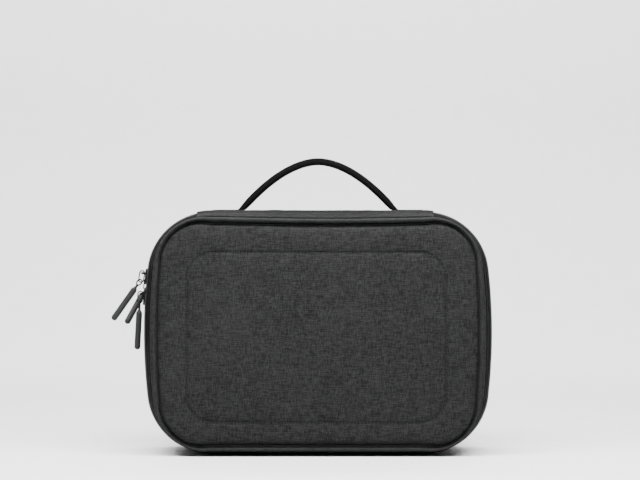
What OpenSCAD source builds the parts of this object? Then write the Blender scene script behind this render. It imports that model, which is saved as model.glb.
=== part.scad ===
// Cable organizer pouch: a semi-rigid zip case that stands on its long edge.
// X is the width, -Y is the lid (front), +Z is up, and the floor is z = 0.

/* [Case] */
// Width of the case across its bowed short sides
case_w = 245; // [225:1:270]
// Height of the case as it stands
case_h = 170; // [160:1:190]
// Radius of the four corners
corner_r = 45; // [36:1:50]
// Radius of the gentle bow of the two short sides
side_r = 400; // [360:10:600]
// Depth of the lid, from the front face to the middle of the zip
lid_d = 24; // [24:1:30]
// Depth of the base, from the middle of the zip to the back face
base_d = 54; // [50:1:70]
// Radius of the fabric-covered piping
piping_r = 2.1; // [1.5:0.1:2.1]

/* [Handle] */
// Height of the handle above the top of the case
handle_h = 38.5; // [34:0.5:50]
// Distance from the middle of the case to each handle foot
handle_reach = 57.8; // [52:0.2:64]
// Width of the webbing, front to back
webbing_w = 18; // [14:1:20]
// Thickness of the doubled webbing
webbing_t = 4.9; // [3:0.1:5.5]

/* [Inside] */
// Place of the left long divider
left_divider_x = -42; // [-46:1:-36]
// Place of the right long divider
right_divider_x = 46; // [40:1:49]
// Height of the cross divider
cross_divider_z = 90; // [76:1:96]
// Thickness of the padded dividers
divider_t = 6; // [4:0.5:6]
// Number of mesh pockets and of elastic loops in the lid
pocket_count = 5; // [3:1:6]

/* [Zip] */
// Height of the upper slider on the left side
upper_slider_z = 124.2; // [122:0.1:124.5]
// Height of the lower slider on the left side
lower_slider_z = 109.8; // [100:0.1:110]
// Height of the slider of the rear pocket
pocket_slider_z = 117.7; // [100:0.1:118]

/* [Hidden] */

// Places front to back
mid_z = case_h / 2;
body_d = lid_d + base_d;
front_y = -body_d / 2;
zip_y = front_y + lid_d;
back_y = body_d / 2;

// Zip: one coil strip on each side of the gap that the slider's neck runs in
coil_gap = 1.2;
coil_w = 1.8;
tape_w = 1.6;
coil_out = 0.4;
coil_in = 2.4;
tape_out = 0.8;
tape_in = 2.0;
stop_w = 3;
stop_deep = 0.4;

// Walls
wall_t = 3;
lining_t = 1.2;
board_t = 1.8;
base_front_y = zip_y + coil_gap / 2 + coil_w + tape_w;
base_rear_y = back_y - 2 * piping_r;
board_y = base_rear_y - board_t;
pocket_gap = 6.6;
partition_y = board_y - pocket_gap;

// Lid: the gusset flares from the piping out to the zip
lid_piping_in = 8.2;
lid_panel_in = 10.8;
lid_rear_y = zip_y - coil_gap / 2 - coil_w - tape_w;
lid_cover_t = 4.4;
lid_board_y = front_y + lid_cover_t;
lid_board_t = 1.6;
lid_floor_y = lid_board_y + lid_board_t;
lid_lining_t = 0.8;
flare_front = 6.0;
flare_wall_t = 2.5;
flare_fold = 1.2;
board_in = 6.6;
// The lid's top and bottom edges draw in by this share of what its sides draw in by
lid_share = 0.74;
// Hair of space between pieces that lie against each other
hair = 0.02;

// Rolled edges of the two soft panels: how far in from the edge, and how deep
panel_roll = [[16, 0.2], [7, 0.5], [2, 1.2], [0, 2.6]];
back_roll = [[0, 2], [1.6, 1], [7.6, 0.4]];
back_panel_gap = 0.4;

// Binding round the two rims
binding_t = 1.6;
lid_binding_t = 1.2;
rim_gap = 0.2;
base_rim_w = 4;
lid_rim_w = 3.5;

// Handle
handle_y = 12;
anchor_t = 1.4;
anchor_len = 24;
anchor_shift = 7;
foot_gap = 0.3;
handle_foot_z = case_h + anchor_t + foot_gap;
handle_steps = 28;
handle_power = 1.85;

// Hinge strip over the top edge
strip_left_x = -85;
strip_right_x = 81;
strip_t = 0.7;
strip_back = 11;
strip_front = 17;
strip_bite = 0.04;
strip_lift = 0.05;

// Stitched outline on the front panel
seam_w = 180;
seam_h = 118;
seam_z = 82.6;
seam_r = 19;
seam_line = 1;
seam_proud = 0.3;
seam_depth = 0.2;

// Lid pockets
backing_in = 14;
backing_t = 1.2;
backing_y = lid_floor_y + lid_lining_t;
pocket_y = backing_y + backing_t;
binding_w = 1.5;
mesh_t = 0.8;
mesh_hollow = 5;
mesh_hem_z = 98;
mesh_top_in = 15.2;
mesh_side_x = 106;
mesh_y = pocket_y + mesh_hollow;
hem_h = 3.5;
hem_t = 0.5;
band_low_z = 53;
band_h = 20;
band_half_w = 104;
band_hollow = 4.6;
band_t = 0.9;
tack_w = 1.6;

// Dividers
divider_front_y = zip_y + 7;
divider_end = 5.6;
divider_clear = 0.3;
divider_rear_y = partition_y - lining_t - divider_clear;
hook_t = 1.1;
hook_w = 14;
hook_h = 26;
hook_pad_t = 0.7;
cross_slim = 1;
cross_t = divider_t - cross_slim;
cross_gap = 1;
cross_set = 2;
hook_set = 1;
cross_left_x = left_divider_x + divider_t / 2 + cross_gap;
cross_right_x = right_divider_x - divider_t / 2 - cross_gap;

// Sliders, rings and pulls; a slider's own frame has -X pointing out of the case
slider_half_w = 2.9;
slider_len = 11;
plate_t = 0.8;
plate_clear = 0.1;
inner_plate = 2.9;
neck_t = 0.6;
neck_len = 2.4;
neck_inset = 0.3;
lug_z = 2.2;
lug_out = 3.3;
lug_bar_r = 0.5;
lug_half_w = 1.5;
lug_post_t = 0.65;
lug_post_r = 0.75;
wire_r = 0.45;
ring_bend_r = 1.7;
ring_straight = 4.7;
loop_r = 2.2;
cord_r = 0.5;
neck_r = 0.85;
grip_start = 6.4;
grip_shoulder = 2.2;
grip_r = 2.15;
pull_len = 34.6;
upper_ring_tilt = 9;
upper_pull_tilt = 35.2;
upper_loop_twist = 48;
lower_ring_tilt = 5;
lower_pull_tilt = 3;
lower_loop_twist = 85;
pocket_ring_tilt = 7;
pocket_pull_tilt = 26;
pocket_pull_lean = -36;
pocket_pull_shift = 0.4;
pocket_loop_twist = 90;

// Rear pocket zip in the left wall
pocket_zip_y = 29.8;
pocket_zip_low = 38;
pocket_zip_high = 126;
pocket_slot_half = 3.2;
pocket_coil_w = 0.8;

// Facets
corner_steps = 9;
side_steps = 6;
piping_steps = 10;
piping_lift = 0.2;
far = 400;
$fn = 48;

// Outline of the case, moved inwards by a distance, in the plane of width and height
side_cx = case_w / 2 - side_r;
corner_cz = case_h / 2 - corner_r;
corner_cx = side_cx + sqrt(pow(side_r - corner_r, 2) - pow(corner_cz, 2));
corner_tilt = atan2(corner_cz, corner_cx - side_cx);

function arc(cx, cz, r, a0, a1, steps, first, last) =
    [for (i = [first : last]) let (a = a0 + (a1 - a0) * i / steps) [cx + r * cos(a), cz + r * sin(a)]];

function plain_outline(inset) = concat(
    arc(side_cx, 0, side_r - inset, -corner_tilt, corner_tilt, side_steps, 1, side_steps - 1),
    arc(corner_cx, corner_cz, corner_r - inset, corner_tilt, 90, corner_steps, 0, corner_steps),
    arc(-corner_cx, corner_cz, corner_r - inset, 90, 180 - corner_tilt, corner_steps, 0, corner_steps),
    arc(-side_cx, 0, side_r - inset, 180 - corner_tilt, 180 + corner_tilt, side_steps, 1, side_steps - 1),
    arc(-corner_cx, -corner_cz, corner_r - inset, 180 + corner_tilt, 270, corner_steps, 0, corner_steps),
    arc(corner_cx, -corner_cz, corner_r - inset, 270, 360 - corner_tilt, corner_steps, 0, corner_steps));

// The same, with the top and bottom edges moved by only a share of the distance
function outline(inset, share = 1) = let (k = (case_h / 2 - share * inset) / (case_h / 2 - inset))
    [for (p = plain_outline(inset)) [p[0], p[1] * k]];

// Extrude a shape drawn in the plane of width and height between two depths
module between(y0, y1) {
    translate([0, y1, mid_z])
        rotate([90, 0, 0])
            linear_extrude(y1 - y0)
                children();
}

module slab(inset, y0, y1, share = 1) {
    between(y0, y1)
        polygon(outline(inset, share));
}

module ring(outer, inner, y0, y1, share = 1) {
    between(y0, y1)
        difference() {
            polygon(outline(outer, share));
            polygon(outline(inner, share));
        }
}

// Sweep a section round the outline; the section's points are [inset, depth]
function ring_points(section, share) =
    [for (s = section) each [for (p = outline(s[0], share)) [p[0], s[1], p[1] + mid_z]]];

function ring_faces(rows, columns) =
    [for (j = [0 : rows - 1], i = [0 : columns - 1])
        [j * columns + i, j * columns + (i + 1) % columns,
            ((j + 1) % rows) * columns + (i + 1) % columns, ((j + 1) % rows) * columns + i]];

module sweep(section, share = 1) {
    polyhedron(ring_points(section, share), ring_faces(len(section), len(outline(0))), convexity = 6);
}

// Stack outlines into a closed solid with a flat face at each end
module stack(section, share = 1) {
    columns = len(outline(0));
    rows = len(section);
    walls = [for (j = [0 : rows - 2], i = [0 : columns - 1])
        [j * columns + i, j * columns + (i + 1) % columns,
            (j + 1) * columns + (i + 1) % columns, (j + 1) * columns + i]];
    first_face = [for (i = [columns - 1 : -1 : 0]) i];
    last_face = [for (i = [0 : columns - 1]) (rows - 1) * columns + i];
    polyhedron(ring_points(section, share), concat(walls, [first_face, last_face]), convexity = 6);
}

function circle_section(inset, y, r) =
    [for (i = [0 : piping_steps - 1])
        let (a = -360 * i / piping_steps)
        [inset + r * cos(a), y + r * sin(a)]];

// The part of a child that lies inside a box given by its two corners
module within(low, high) {
    intersection() {
        children();
        translate(low)
            cube(high - low);
    }
}

// ---------- base ----------

module back_panel() {
    edge_in = 2 * piping_r + back_panel_gap;
    color("#38393b")
        stack(concat([[edge_in, base_rear_y]], [for (r = back_roll) [edge_in + r[0], back_y - r[1]]]));
}

module back_stiffener() {
    color("#2a2a2a")
        slab(wall_t, board_y, base_rear_y);
}

module pocket_slot() {
    translate([-far / 2, pocket_zip_y - pocket_slot_half, pocket_zip_low])
        cube([far / 2, 2 * pocket_slot_half, pocket_zip_high - pocket_zip_low]);
}

module base_gusset() {
    color("#343537")
        difference() {
            ring(0, wall_t, base_front_y, base_rear_y);
            pocket_slot();
        }
}

module base_piping() {
    color("#3c3d3f")
        sweep(circle_section(piping_r + piping_lift, base_rear_y + piping_r, piping_r));
}

module base_zip_tape() {
    color("#1c1c1e")
        ring(tape_out, tape_in, base_front_y - tape_w, base_front_y);
}

// The whole coil strip, without the stretch under the hinge strip
module coil_ring(y0, y1) {
    difference() {
        ring(coil_out, coil_in, y0, y1);
        translate([strip_left_x, y0 - 1, mid_z])
            cube([strip_right_x - strip_left_x, y1 - y0 + 2, case_h]);
    }
}

module base_zip_coil() {
    color("#161617")
        coil_ring(zip_y + coil_gap / 2, base_front_y - tape_w);
}

module base_zip_stops() {
    color("#161617")
        for (x = [strip_left_x, strip_right_x - stop_w])
            within([x, front_y, mid_z], [x + stop_w, back_y, case_h])
                ring(coil_out, coil_in + stop_deep, zip_y + coil_gap / 2, base_front_y - tape_w);
}

module base_rim_binding() {
    color("#18181a")
        ring(wall_t, wall_t + binding_t, base_front_y + rim_gap, base_front_y + base_rim_w);
}

module base_lining_wall() {
    color("#545659")
        ring(wall_t, wall_t + lining_t, base_front_y + base_rim_w, partition_y - lining_t);
}

module base_lining_floor() {
    color("#4e5053")
        slab(wall_t, partition_y - lining_t, partition_y);
}

module hinge_strip_base() {
    color("#4a4b4d")
        within([strip_left_x, front_y, mid_z], [strip_right_x, back_y, case_h + strip_t])
            ring(-strip_t, 0, zip_y + coil_gap / 2, zip_y + strip_back);
}

module handle_anchor(side) {
    color("#202022")
        translate([side * (handle_reach + anchor_shift) - anchor_len / 2, handle_y - webbing_w / 2, case_h])
            cube([anchor_len, webbing_w, anchor_t]);
}

module handle_anchor_left() {
    handle_anchor(-1);
}

module handle_anchor_right() {
    handle_anchor(1);
}

// Strips on both sides of the pocket zip's gap, from one distance off it to another
module pocket_strips(outer, inner, near, edge) {
    for (y = [pocket_zip_y - edge, pocket_zip_y + near])
        within([-far / 2, y, pocket_zip_low], [0, y + edge - near, pocket_zip_high])
            ring(outer, inner, y, y + edge - near);
}

module pocket_zip_tape() {
    color("#1c1c1e")
        pocket_strips(tape_out, tape_in, coil_gap / 2 + pocket_coil_w, pocket_slot_half);
}

module pocket_zip_coil() {
    color("#161617")
        pocket_strips(coil_out, coil_in, coil_gap / 2, coil_gap / 2 + pocket_coil_w);
}

module pocket_zip_stops() {
    color("#161617")
        for (z = [pocket_zip_low, pocket_zip_high - stop_w / 2])
            within([-far / 2, pocket_zip_y - coil_gap / 2, z],
                [0, pocket_zip_y + coil_gap / 2, z + stop_w / 2])
                ring(coil_out, coil_in, pocket_zip_y - coil_gap / 2, pocket_zip_y + coil_gap / 2);
}

// ---------- handle ----------

// Outer line of the arched webbing, as height over distance from the middle
function handle_top(x) =
    case_h + handle_h - (case_h + handle_h - handle_foot_z) * pow(abs(x) / handle_reach, handle_power);

function handle_slope(x) =
    (case_h + handle_h - handle_foot_z) * handle_power * pow(abs(x) / handle_reach, handle_power - 1)
        / handle_reach * (x < 0 ? 1 : -1);

function handle_inner(x) = let (s = handle_slope(x), n = sqrt(1 + s * s))
    [x + webbing_t * s / n, max(handle_top(x) - webbing_t / n, handle_foot_z)];

module handle_strap() {
    outer_line = [for (i = [-handle_steps : handle_steps]) let (x = handle_reach * i / handle_steps)
        [x, handle_top(x)]];
    inner_line = [for (i = [handle_steps : -1 : -handle_steps])
        handle_inner(handle_reach * i / handle_steps)];
    color("#1a1a1c")
        translate([0, handle_y + webbing_w / 2, 0])
            rotate([90, 0, 0])
                linear_extrude(webbing_w)
                    polygon(concat(outer_line, inner_line));
}

// ---------- lid ----------

module lid_panel() {
    color("#38393b")
        stack(concat([for (r = panel_roll) [lid_panel_in + r[0], front_y + r[1]]],
            [[lid_panel_in, lid_board_y]]),
            lid_share);
}

module seam_shape(grow) {
    translate([0, seam_z - mid_z])
        for (corner_x = [-1, 1], corner_y = [-1, 1])
            translate([corner_x * (seam_w / 2 - seam_r), corner_y * (seam_h / 2 - seam_r)])
                circle(seam_r + grow);
    translate([0, seam_z - mid_z]) {
        square([seam_w - 2 * seam_r, seam_h + 2 * grow], center = true);
        square([seam_w + 2 * grow, seam_h - 2 * seam_r], center = true);
    }
}

module lid_outline_seam() {
    color("#141415")
        between(front_y + seam_depth - seam_proud, front_y + seam_depth)
            difference() {
                seam_shape(0);
                seam_shape(-seam_line);
            }
}

module lid_stiffener() {
    color("#2a2a2a")
        slab(board_in, lid_board_y, lid_floor_y, lid_share);
}

module lid_gusset() {
    color("#343537")
        sweep([[flare_front, lid_board_y - flare_fold], [tape_out, lid_rear_y],
            [tape_out + flare_wall_t, lid_rear_y], [board_in, lid_floor_y],
            [board_in, lid_board_y]], lid_share);
}

module lid_piping() {
    color("#3c3d3f")
        sweep(circle_section(lid_piping_in, lid_board_y - piping_r, piping_r), lid_share);
}

module lid_zip_tape() {
    color("#1c1c1e")
        ring(tape_out, tape_in, lid_rear_y, lid_rear_y + tape_w);
}

module lid_zip_coil() {
    color("#161617")
        coil_ring(lid_rear_y + tape_w, zip_y - coil_gap / 2);
}

// Inner face of the flared lid wall at a depth
function lid_wall_in(y) =
    tape_out + flare_wall_t
        + (board_in - tape_out - flare_wall_t) * (lid_rear_y - y) / (lid_rear_y - lid_floor_y);

module lid_rim_binding() {
    front = lid_rear_y - lid_rim_w;
    rear = lid_rear_y - rim_gap;
    color("#18181a")
        sweep([[lid_wall_in(front) + hair, front], [lid_wall_in(rear) + hair, rear],
            [lid_wall_in(rear) + lid_binding_t, rear],
            [lid_wall_in(front) + lid_binding_t, front]], lid_share);
}

module lid_lining() {
    rear = lid_rear_y - lid_rim_w;
    color("#b9bbbd")
        stack([[board_in + hair, lid_floor_y], [lid_wall_in(rear) + hair, rear],
            [lid_wall_in(rear) + lid_lining_t, rear],
            [board_in + lid_lining_t, lid_floor_y + lid_lining_t]],
            lid_share);
}

module hinge_strip_lid() {
    flare = (flare_front - tape_out) / (lid_rear_y - lid_board_y + flare_fold);
    bend_y = lid_rear_y;
    edge_y = zip_y - strip_front;
    edge_in = tape_out + (bend_y - edge_y) * flare - strip_bite;
    color("#4a4b4d")
        within([strip_left_x, front_y, mid_z], [strip_right_x, zip_y, case_h])
            sweep([[tape_out - strip_bite, bend_y], [edge_in, edge_y], [edge_in - strip_t, edge_y],
                [strip_lift, bend_y], [strip_lift, zip_y - coil_gap / 2],
                [strip_lift + strip_t, zip_y - coil_gap / 2]], lid_share);
}

module pocket_backing() {
    color("#a3aab3")
        slab(backing_in, backing_y, pocket_y, lid_share);
}

module pocket_border_binding() {
    color("#2b2b2d")
        ring(backing_in - binding_w, backing_in, backing_y, pocket_y + rim_gap, lid_share);
}

function pocket_edge_x(i) = -mesh_side_x + 2 * mesh_side_x * i / pocket_count;

module mesh_pockets() {
    color("#8f9295") {
        within([-case_w, pocket_y, mesh_hem_z], [case_w, back_y, case_h]) {
            union() {
                slab(mesh_top_in, mesh_y, mesh_y + mesh_t, lid_share);
                ring(mesh_top_in, mesh_top_in + mesh_t, pocket_y, mesh_y, lid_share);
            }
        }
        for (i = [1 : pocket_count - 1])
            within([pocket_edge_x(i) - mesh_t / 2, pocket_y, mesh_hem_z],
                [pocket_edge_x(i) + mesh_t / 2, mesh_y, case_h])
                slab(mesh_top_in, pocket_y, mesh_y, lid_share);
    }
}

module mesh_hem() {
    color("#77797c")
        translate([-mesh_side_x, mesh_y + mesh_t, mesh_hem_z])
            cube([2 * mesh_side_x, hem_t, hem_h]);
}

module elastic_band() {
    color("#b3b0ad")
        translate([-band_half_w, pocket_y + band_hollow, band_low_z])
            cube([2 * band_half_w, band_t, band_h]);
}

module band_bar_tacks() {
    color("#8b8886")
        for (i = [0 : pocket_count])
            translate([-band_half_w + (2 * band_half_w - tack_w) * i / pocket_count, pocket_y, band_low_z])
                cube([tack_w, band_hollow, band_h]);
}

// ---------- dividers ----------

module long_divider(x) {
    color("#5a5c5f")
        translate([x - divider_t / 2, divider_front_y, divider_end])
            cube([divider_t, divider_rear_y - divider_front_y, case_h - 2 * divider_end]);
}

// Hook tabs folded on the case wall at both ends of a long divider, towards the middle
module long_divider_hooks(x, side) {
    tab_x = x - divider_t / 2 - (side > 0 ? 0 : hook_w);
    color("#141415")
        for (z = [divider_end - hook_t, case_h - divider_end])
            translate([tab_x, divider_front_y + hook_set, z])
                cube([divider_t + hook_w, hook_h, hook_t]);
}

module divider_left() {
    long_divider(left_divider_x);
}

module divider_left_hooks() {
    long_divider_hooks(left_divider_x, 1);
}

module divider_right() {
    long_divider(right_divider_x);
}

module divider_right_hooks() {
    long_divider_hooks(right_divider_x, -1);
}

module divider_cross() {
    color("#5a5c5f")
        translate([cross_left_x, divider_front_y + cross_set, cross_divider_z - cross_t / 2])
            cube([cross_right_x - cross_left_x, divider_rear_y - divider_front_y - cross_set, cross_t]);
}

module divider_cross_hooks() {
    color("#141415")
        for (x = [cross_left_x - hook_pad_t, cross_right_x])
            translate([x, divider_front_y + cross_set + hook_set, cross_divider_z - hook_h / 2])
                cube([hook_pad_t, hook_h, hook_h]);
}

// ---------- sliders, rings and pulls ----------

function side_angle(z) = asin((z - mid_z) / side_r);

// Middle of the bar that a slider's ring hangs on
function bar_point(y, z) = let (a = side_angle(z))
    [-side_cx - (side_r + lug_out) * cos(a) + lug_z * sin(a), y,
        mid_z + (side_r + lug_out) * sin(a) + lug_z * cos(a)];

module on_left_side(y, z) {
    translate([-side_cx, y, mid_z])
        rotate([0, side_angle(z), 0])
            translate([-side_r, 0, 0])
                children();
}

module slider_plate(x, nose) {
    flat_end = slider_len / 2 - slider_half_w;
    translate([x, 0, 0])
        rotate([90, 0, 90])
            linear_extrude(plate_t) {
                translate([0, nose * flat_end])
                    circle(slider_half_w);
                translate([-slider_half_w, nose > 0 ? -slider_len / 2 : -flat_end])
                    square([2 * slider_half_w, slider_len - slider_half_w]);
            }
}

// Two plates joined by a neck in the coil gap, and a lug with a bar for the ring
module slider(y, z, nose) {
    neck_z = nose > 0 ? slider_len / 2 - neck_len - neck_inset : neck_inset - slider_len / 2;
    color("#1d1d1f")
        on_left_side(y, z) {
            slider_plate(-plate_clear - plate_t, nose);
            slider_plate(inner_plate, nose);
            translate([-plate_clear, -neck_t / 2, neck_z])
                cube([inner_plate + plate_clear, neck_t, neck_len]);
            for (post_y = [-lug_half_w, lug_half_w - lug_post_t])
                translate([-lug_out, post_y, lug_z - lug_post_r]) {
                    cube([lug_out - plate_clear - plate_t, lug_post_t, 2 * lug_post_r]);
                    translate([0, 0, lug_post_r])
                        rotate([-90, 0, 0])
                            cylinder(h = lug_post_t, r = lug_post_r);
                }
            translate([-lug_out, -lug_half_w, lug_z])
                rotate([-90, 0, 0])
                    cylinder(h = 2 * lug_half_w, r = lug_bar_r);
        }
}

// Oval wire ring hanging from the origin, in the plane of width and height
module wire_ring(y, z, tilt) {
    color("#131314")
        translate(bar_point(y, z))
            rotate([0, tilt, 0]) {
                for (side = [-1, 1])
                    translate([side * ring_bend_r, 0, -ring_straight])
                        cylinder(h = ring_straight, r = wire_r);
                rotate([90, 0, 0])
                    rotate_extrude(angle = 180)
                        translate([ring_bend_r, 0])
                            circle(wire_r);
                translate([0, 0, -ring_straight])
                    rotate([-90, 0, 0])
                        rotate_extrude(angle = 180)
                            translate([ring_bend_r, 0])
                                circle(wire_r);
            }
}

// Frame of a pull: it hangs from the middle of the ring's lower bend
module at_ring_end(y, z, ring_tilt, pull_tilt, lean, twist) {
    translate(bar_point(y, z) - ring_straight * [sin(ring_tilt), 0, cos(ring_tilt)])
        rotate([lean, pull_tilt, 0])
            rotate([0, 0, twist])
                children();
}

module cord_loop() {
    translate([0, 0, -loop_r])
        rotate([90, 0, 0])
            rotate_extrude()
                translate([loop_r, 0])
                    circle(cord_r);
    translate([0, 0, -grip_start])
        cylinder(h = grip_start - 2 * loop_r, r = neck_r);
}

module grip() {
    translate([0, 0, -grip_start - grip_shoulder])
        cylinder(h = grip_shoulder, r1 = grip_r, r2 = neck_r);
    translate([0, 0, grip_r - pull_len])
        cylinder(h = pull_len - grip_r - grip_start - grip_shoulder, r = grip_r);
    translate([0, 0, grip_r - pull_len])
        sphere(grip_r);
}

module upper_slider() {
    slider(zip_y, upper_slider_z, -1);
}

module upper_ring() {
    wire_ring(zip_y, upper_slider_z, upper_ring_tilt);
}

module upper_cord_loop() {
    color("#151516")
        at_ring_end(zip_y, upper_slider_z, upper_ring_tilt, upper_pull_tilt, 0, upper_loop_twist)
            cord_loop();
}

module upper_grip() {
    color("#3b3c3e")
        at_ring_end(zip_y, upper_slider_z, upper_ring_tilt, upper_pull_tilt, 0, upper_loop_twist)
            grip();
}

module lower_slider() {
    slider(zip_y, lower_slider_z, 1);
}

module lower_ring() {
    wire_ring(zip_y, lower_slider_z, lower_ring_tilt);
}

module lower_cord_loop() {
    color("#151516")
        at_ring_end(zip_y, lower_slider_z, lower_ring_tilt, lower_pull_tilt, 0, lower_loop_twist)
            cord_loop();
}

module lower_grip() {
    color("#3b3c3e")
        at_ring_end(zip_y, lower_slider_z, lower_ring_tilt, lower_pull_tilt, 0, lower_loop_twist)
            grip();
}

module pocket_slider() {
    slider(pocket_zip_y, pocket_slider_z, 1);
}

module pocket_ring() {
    wire_ring(pocket_zip_y, pocket_slider_z, pocket_ring_tilt);
}

module pocket_cord_loop() {
    color("#151516")
        at_ring_end(pocket_zip_y + pocket_pull_shift, pocket_slider_z, pocket_ring_tilt, pocket_pull_tilt,
            pocket_pull_lean, pocket_loop_twist)
            cord_loop();
}

module pocket_grip() {
    color("#3b3c3e")
        at_ring_end(pocket_zip_y + pocket_pull_shift, pocket_slider_z, pocket_ring_tilt, pocket_pull_tilt,
            pocket_pull_lean, pocket_loop_twist)
            grip();
}

back_panel();
back_stiffener();
base_gusset();
base_piping();
base_zip_tape();
base_zip_coil();
base_zip_stops();
base_rim_binding();
base_lining_wall();
base_lining_floor();
hinge_strip_base();
handle_anchor_left();
handle_anchor_right();
pocket_zip_tape();
pocket_zip_coil();
pocket_zip_stops();
handle_strap();
lid_panel();
lid_outline_seam();
lid_stiffener();
lid_gusset();
lid_piping();
lid_zip_tape();
lid_zip_coil();
lid_rim_binding();
lid_lining();
hinge_strip_lid();
pocket_backing();
pocket_border_binding();
mesh_pockets();
mesh_hem();
elastic_band();
band_bar_tacks();
divider_left();
divider_left_hooks();
divider_right();
divider_right_hooks();
divider_cross();
divider_cross_hooks();
upper_slider();
upper_ring();
upper_cord_loop();
upper_grip();
lower_slider();
lower_ring();
lower_cord_loop();
lower_grip();
pocket_slider();
pocket_ring();
pocket_cord_loop();
pocket_grip();
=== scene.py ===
"""Cable organizer pouch: the visual model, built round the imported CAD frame."""
import math

import bmesh
import bpy
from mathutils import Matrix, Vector, noise


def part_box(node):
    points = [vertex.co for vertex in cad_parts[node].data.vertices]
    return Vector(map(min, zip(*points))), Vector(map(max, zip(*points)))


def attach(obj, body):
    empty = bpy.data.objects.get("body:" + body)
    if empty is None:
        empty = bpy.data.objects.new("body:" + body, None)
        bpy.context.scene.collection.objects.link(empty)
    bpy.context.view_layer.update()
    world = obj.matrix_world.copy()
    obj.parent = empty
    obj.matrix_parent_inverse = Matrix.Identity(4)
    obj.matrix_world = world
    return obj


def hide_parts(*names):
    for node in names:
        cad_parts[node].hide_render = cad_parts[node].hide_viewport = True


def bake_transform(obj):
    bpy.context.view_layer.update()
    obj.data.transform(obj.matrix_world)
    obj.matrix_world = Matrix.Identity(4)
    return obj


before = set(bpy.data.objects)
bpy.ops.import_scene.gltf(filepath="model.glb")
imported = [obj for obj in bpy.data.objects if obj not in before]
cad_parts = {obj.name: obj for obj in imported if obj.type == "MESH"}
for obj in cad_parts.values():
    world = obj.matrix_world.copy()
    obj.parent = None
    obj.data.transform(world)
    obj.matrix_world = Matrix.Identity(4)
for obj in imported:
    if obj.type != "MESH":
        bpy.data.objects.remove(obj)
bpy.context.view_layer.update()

MM = 0.001

# ---------------------------------------------------------------- sizes

CASE_LO, CASE_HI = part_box("base_gusset")
HALF_W = (CASE_HI.x - CASE_LO.x) / 2
HALF_H = (CASE_HI.z - CASE_LO.z) / 2
MID_Z = (CASE_HI.z + CASE_LO.z) / 2
CORNER_R = 45 * MM
SIDE_R = 400 * MM
LID_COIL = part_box("lid_zip_coil")
BASE_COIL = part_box("base_zip_coil")
ZIP_Y = (LID_COIL[1].y + BASE_COIL[0].y) / 2
FRONT_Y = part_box("lid_panel")[0].y
BACK_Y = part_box("back_panel")[1].y
LID_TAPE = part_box("lid_zip_tape")
BASE_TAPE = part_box("base_zip_tape")
LID_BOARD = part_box("lid_stiffener")
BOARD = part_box("back_stiffener")
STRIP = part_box("hinge_strip_base")
PIPING_R = 2.1 * MM
PIPING_INSET = 8.2 * MM
PANEL_INSET = 10.8 * MM
BACK_PIPING_INSET = 2.3 * MM
BACK_PANEL_INSET = 4.6 * MM
SEAM_W, SEAM_H, SEAM_R = 179.6 * MM, 118 * MM, 19 * MM
SEAM_X, SEAM_Z = -1.0 * MM, 82.6 * MM
FULL_FROM = 2.6 * MM
SQUARE = 0.34


# ---------------------------------------------------------------- mesh helpers

def smooth(t):
    t = min(1.0, max(0.0, t))
    return t * t * (3 - 2 * t)


def bump(x, width):
    return math.exp(-(x / width) ** 2)


def wander(x, y, z, scale, size):
    """Smooth noise of a given wavelength and size, all in metres."""
    return size * noise.noise(Vector((x / scale, y / scale, z / scale)))


def placed(name, mesh):
    obj = bpy.data.objects.new(name, mesh)
    bpy.context.scene.collection.objects.link(obj)
    return obj


def belongs(obj, body, *nodes):
    """Say what a piece rides on and which CAD nodes it stands for, and hide those nodes."""
    if body:
        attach(obj, body)
    if nodes:
        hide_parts(*nodes)
    return obj


def shade_smooth(mesh):
    mesh.polygons.foreach_set("use_smooth", [True] * len(mesh.polygons))


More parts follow.
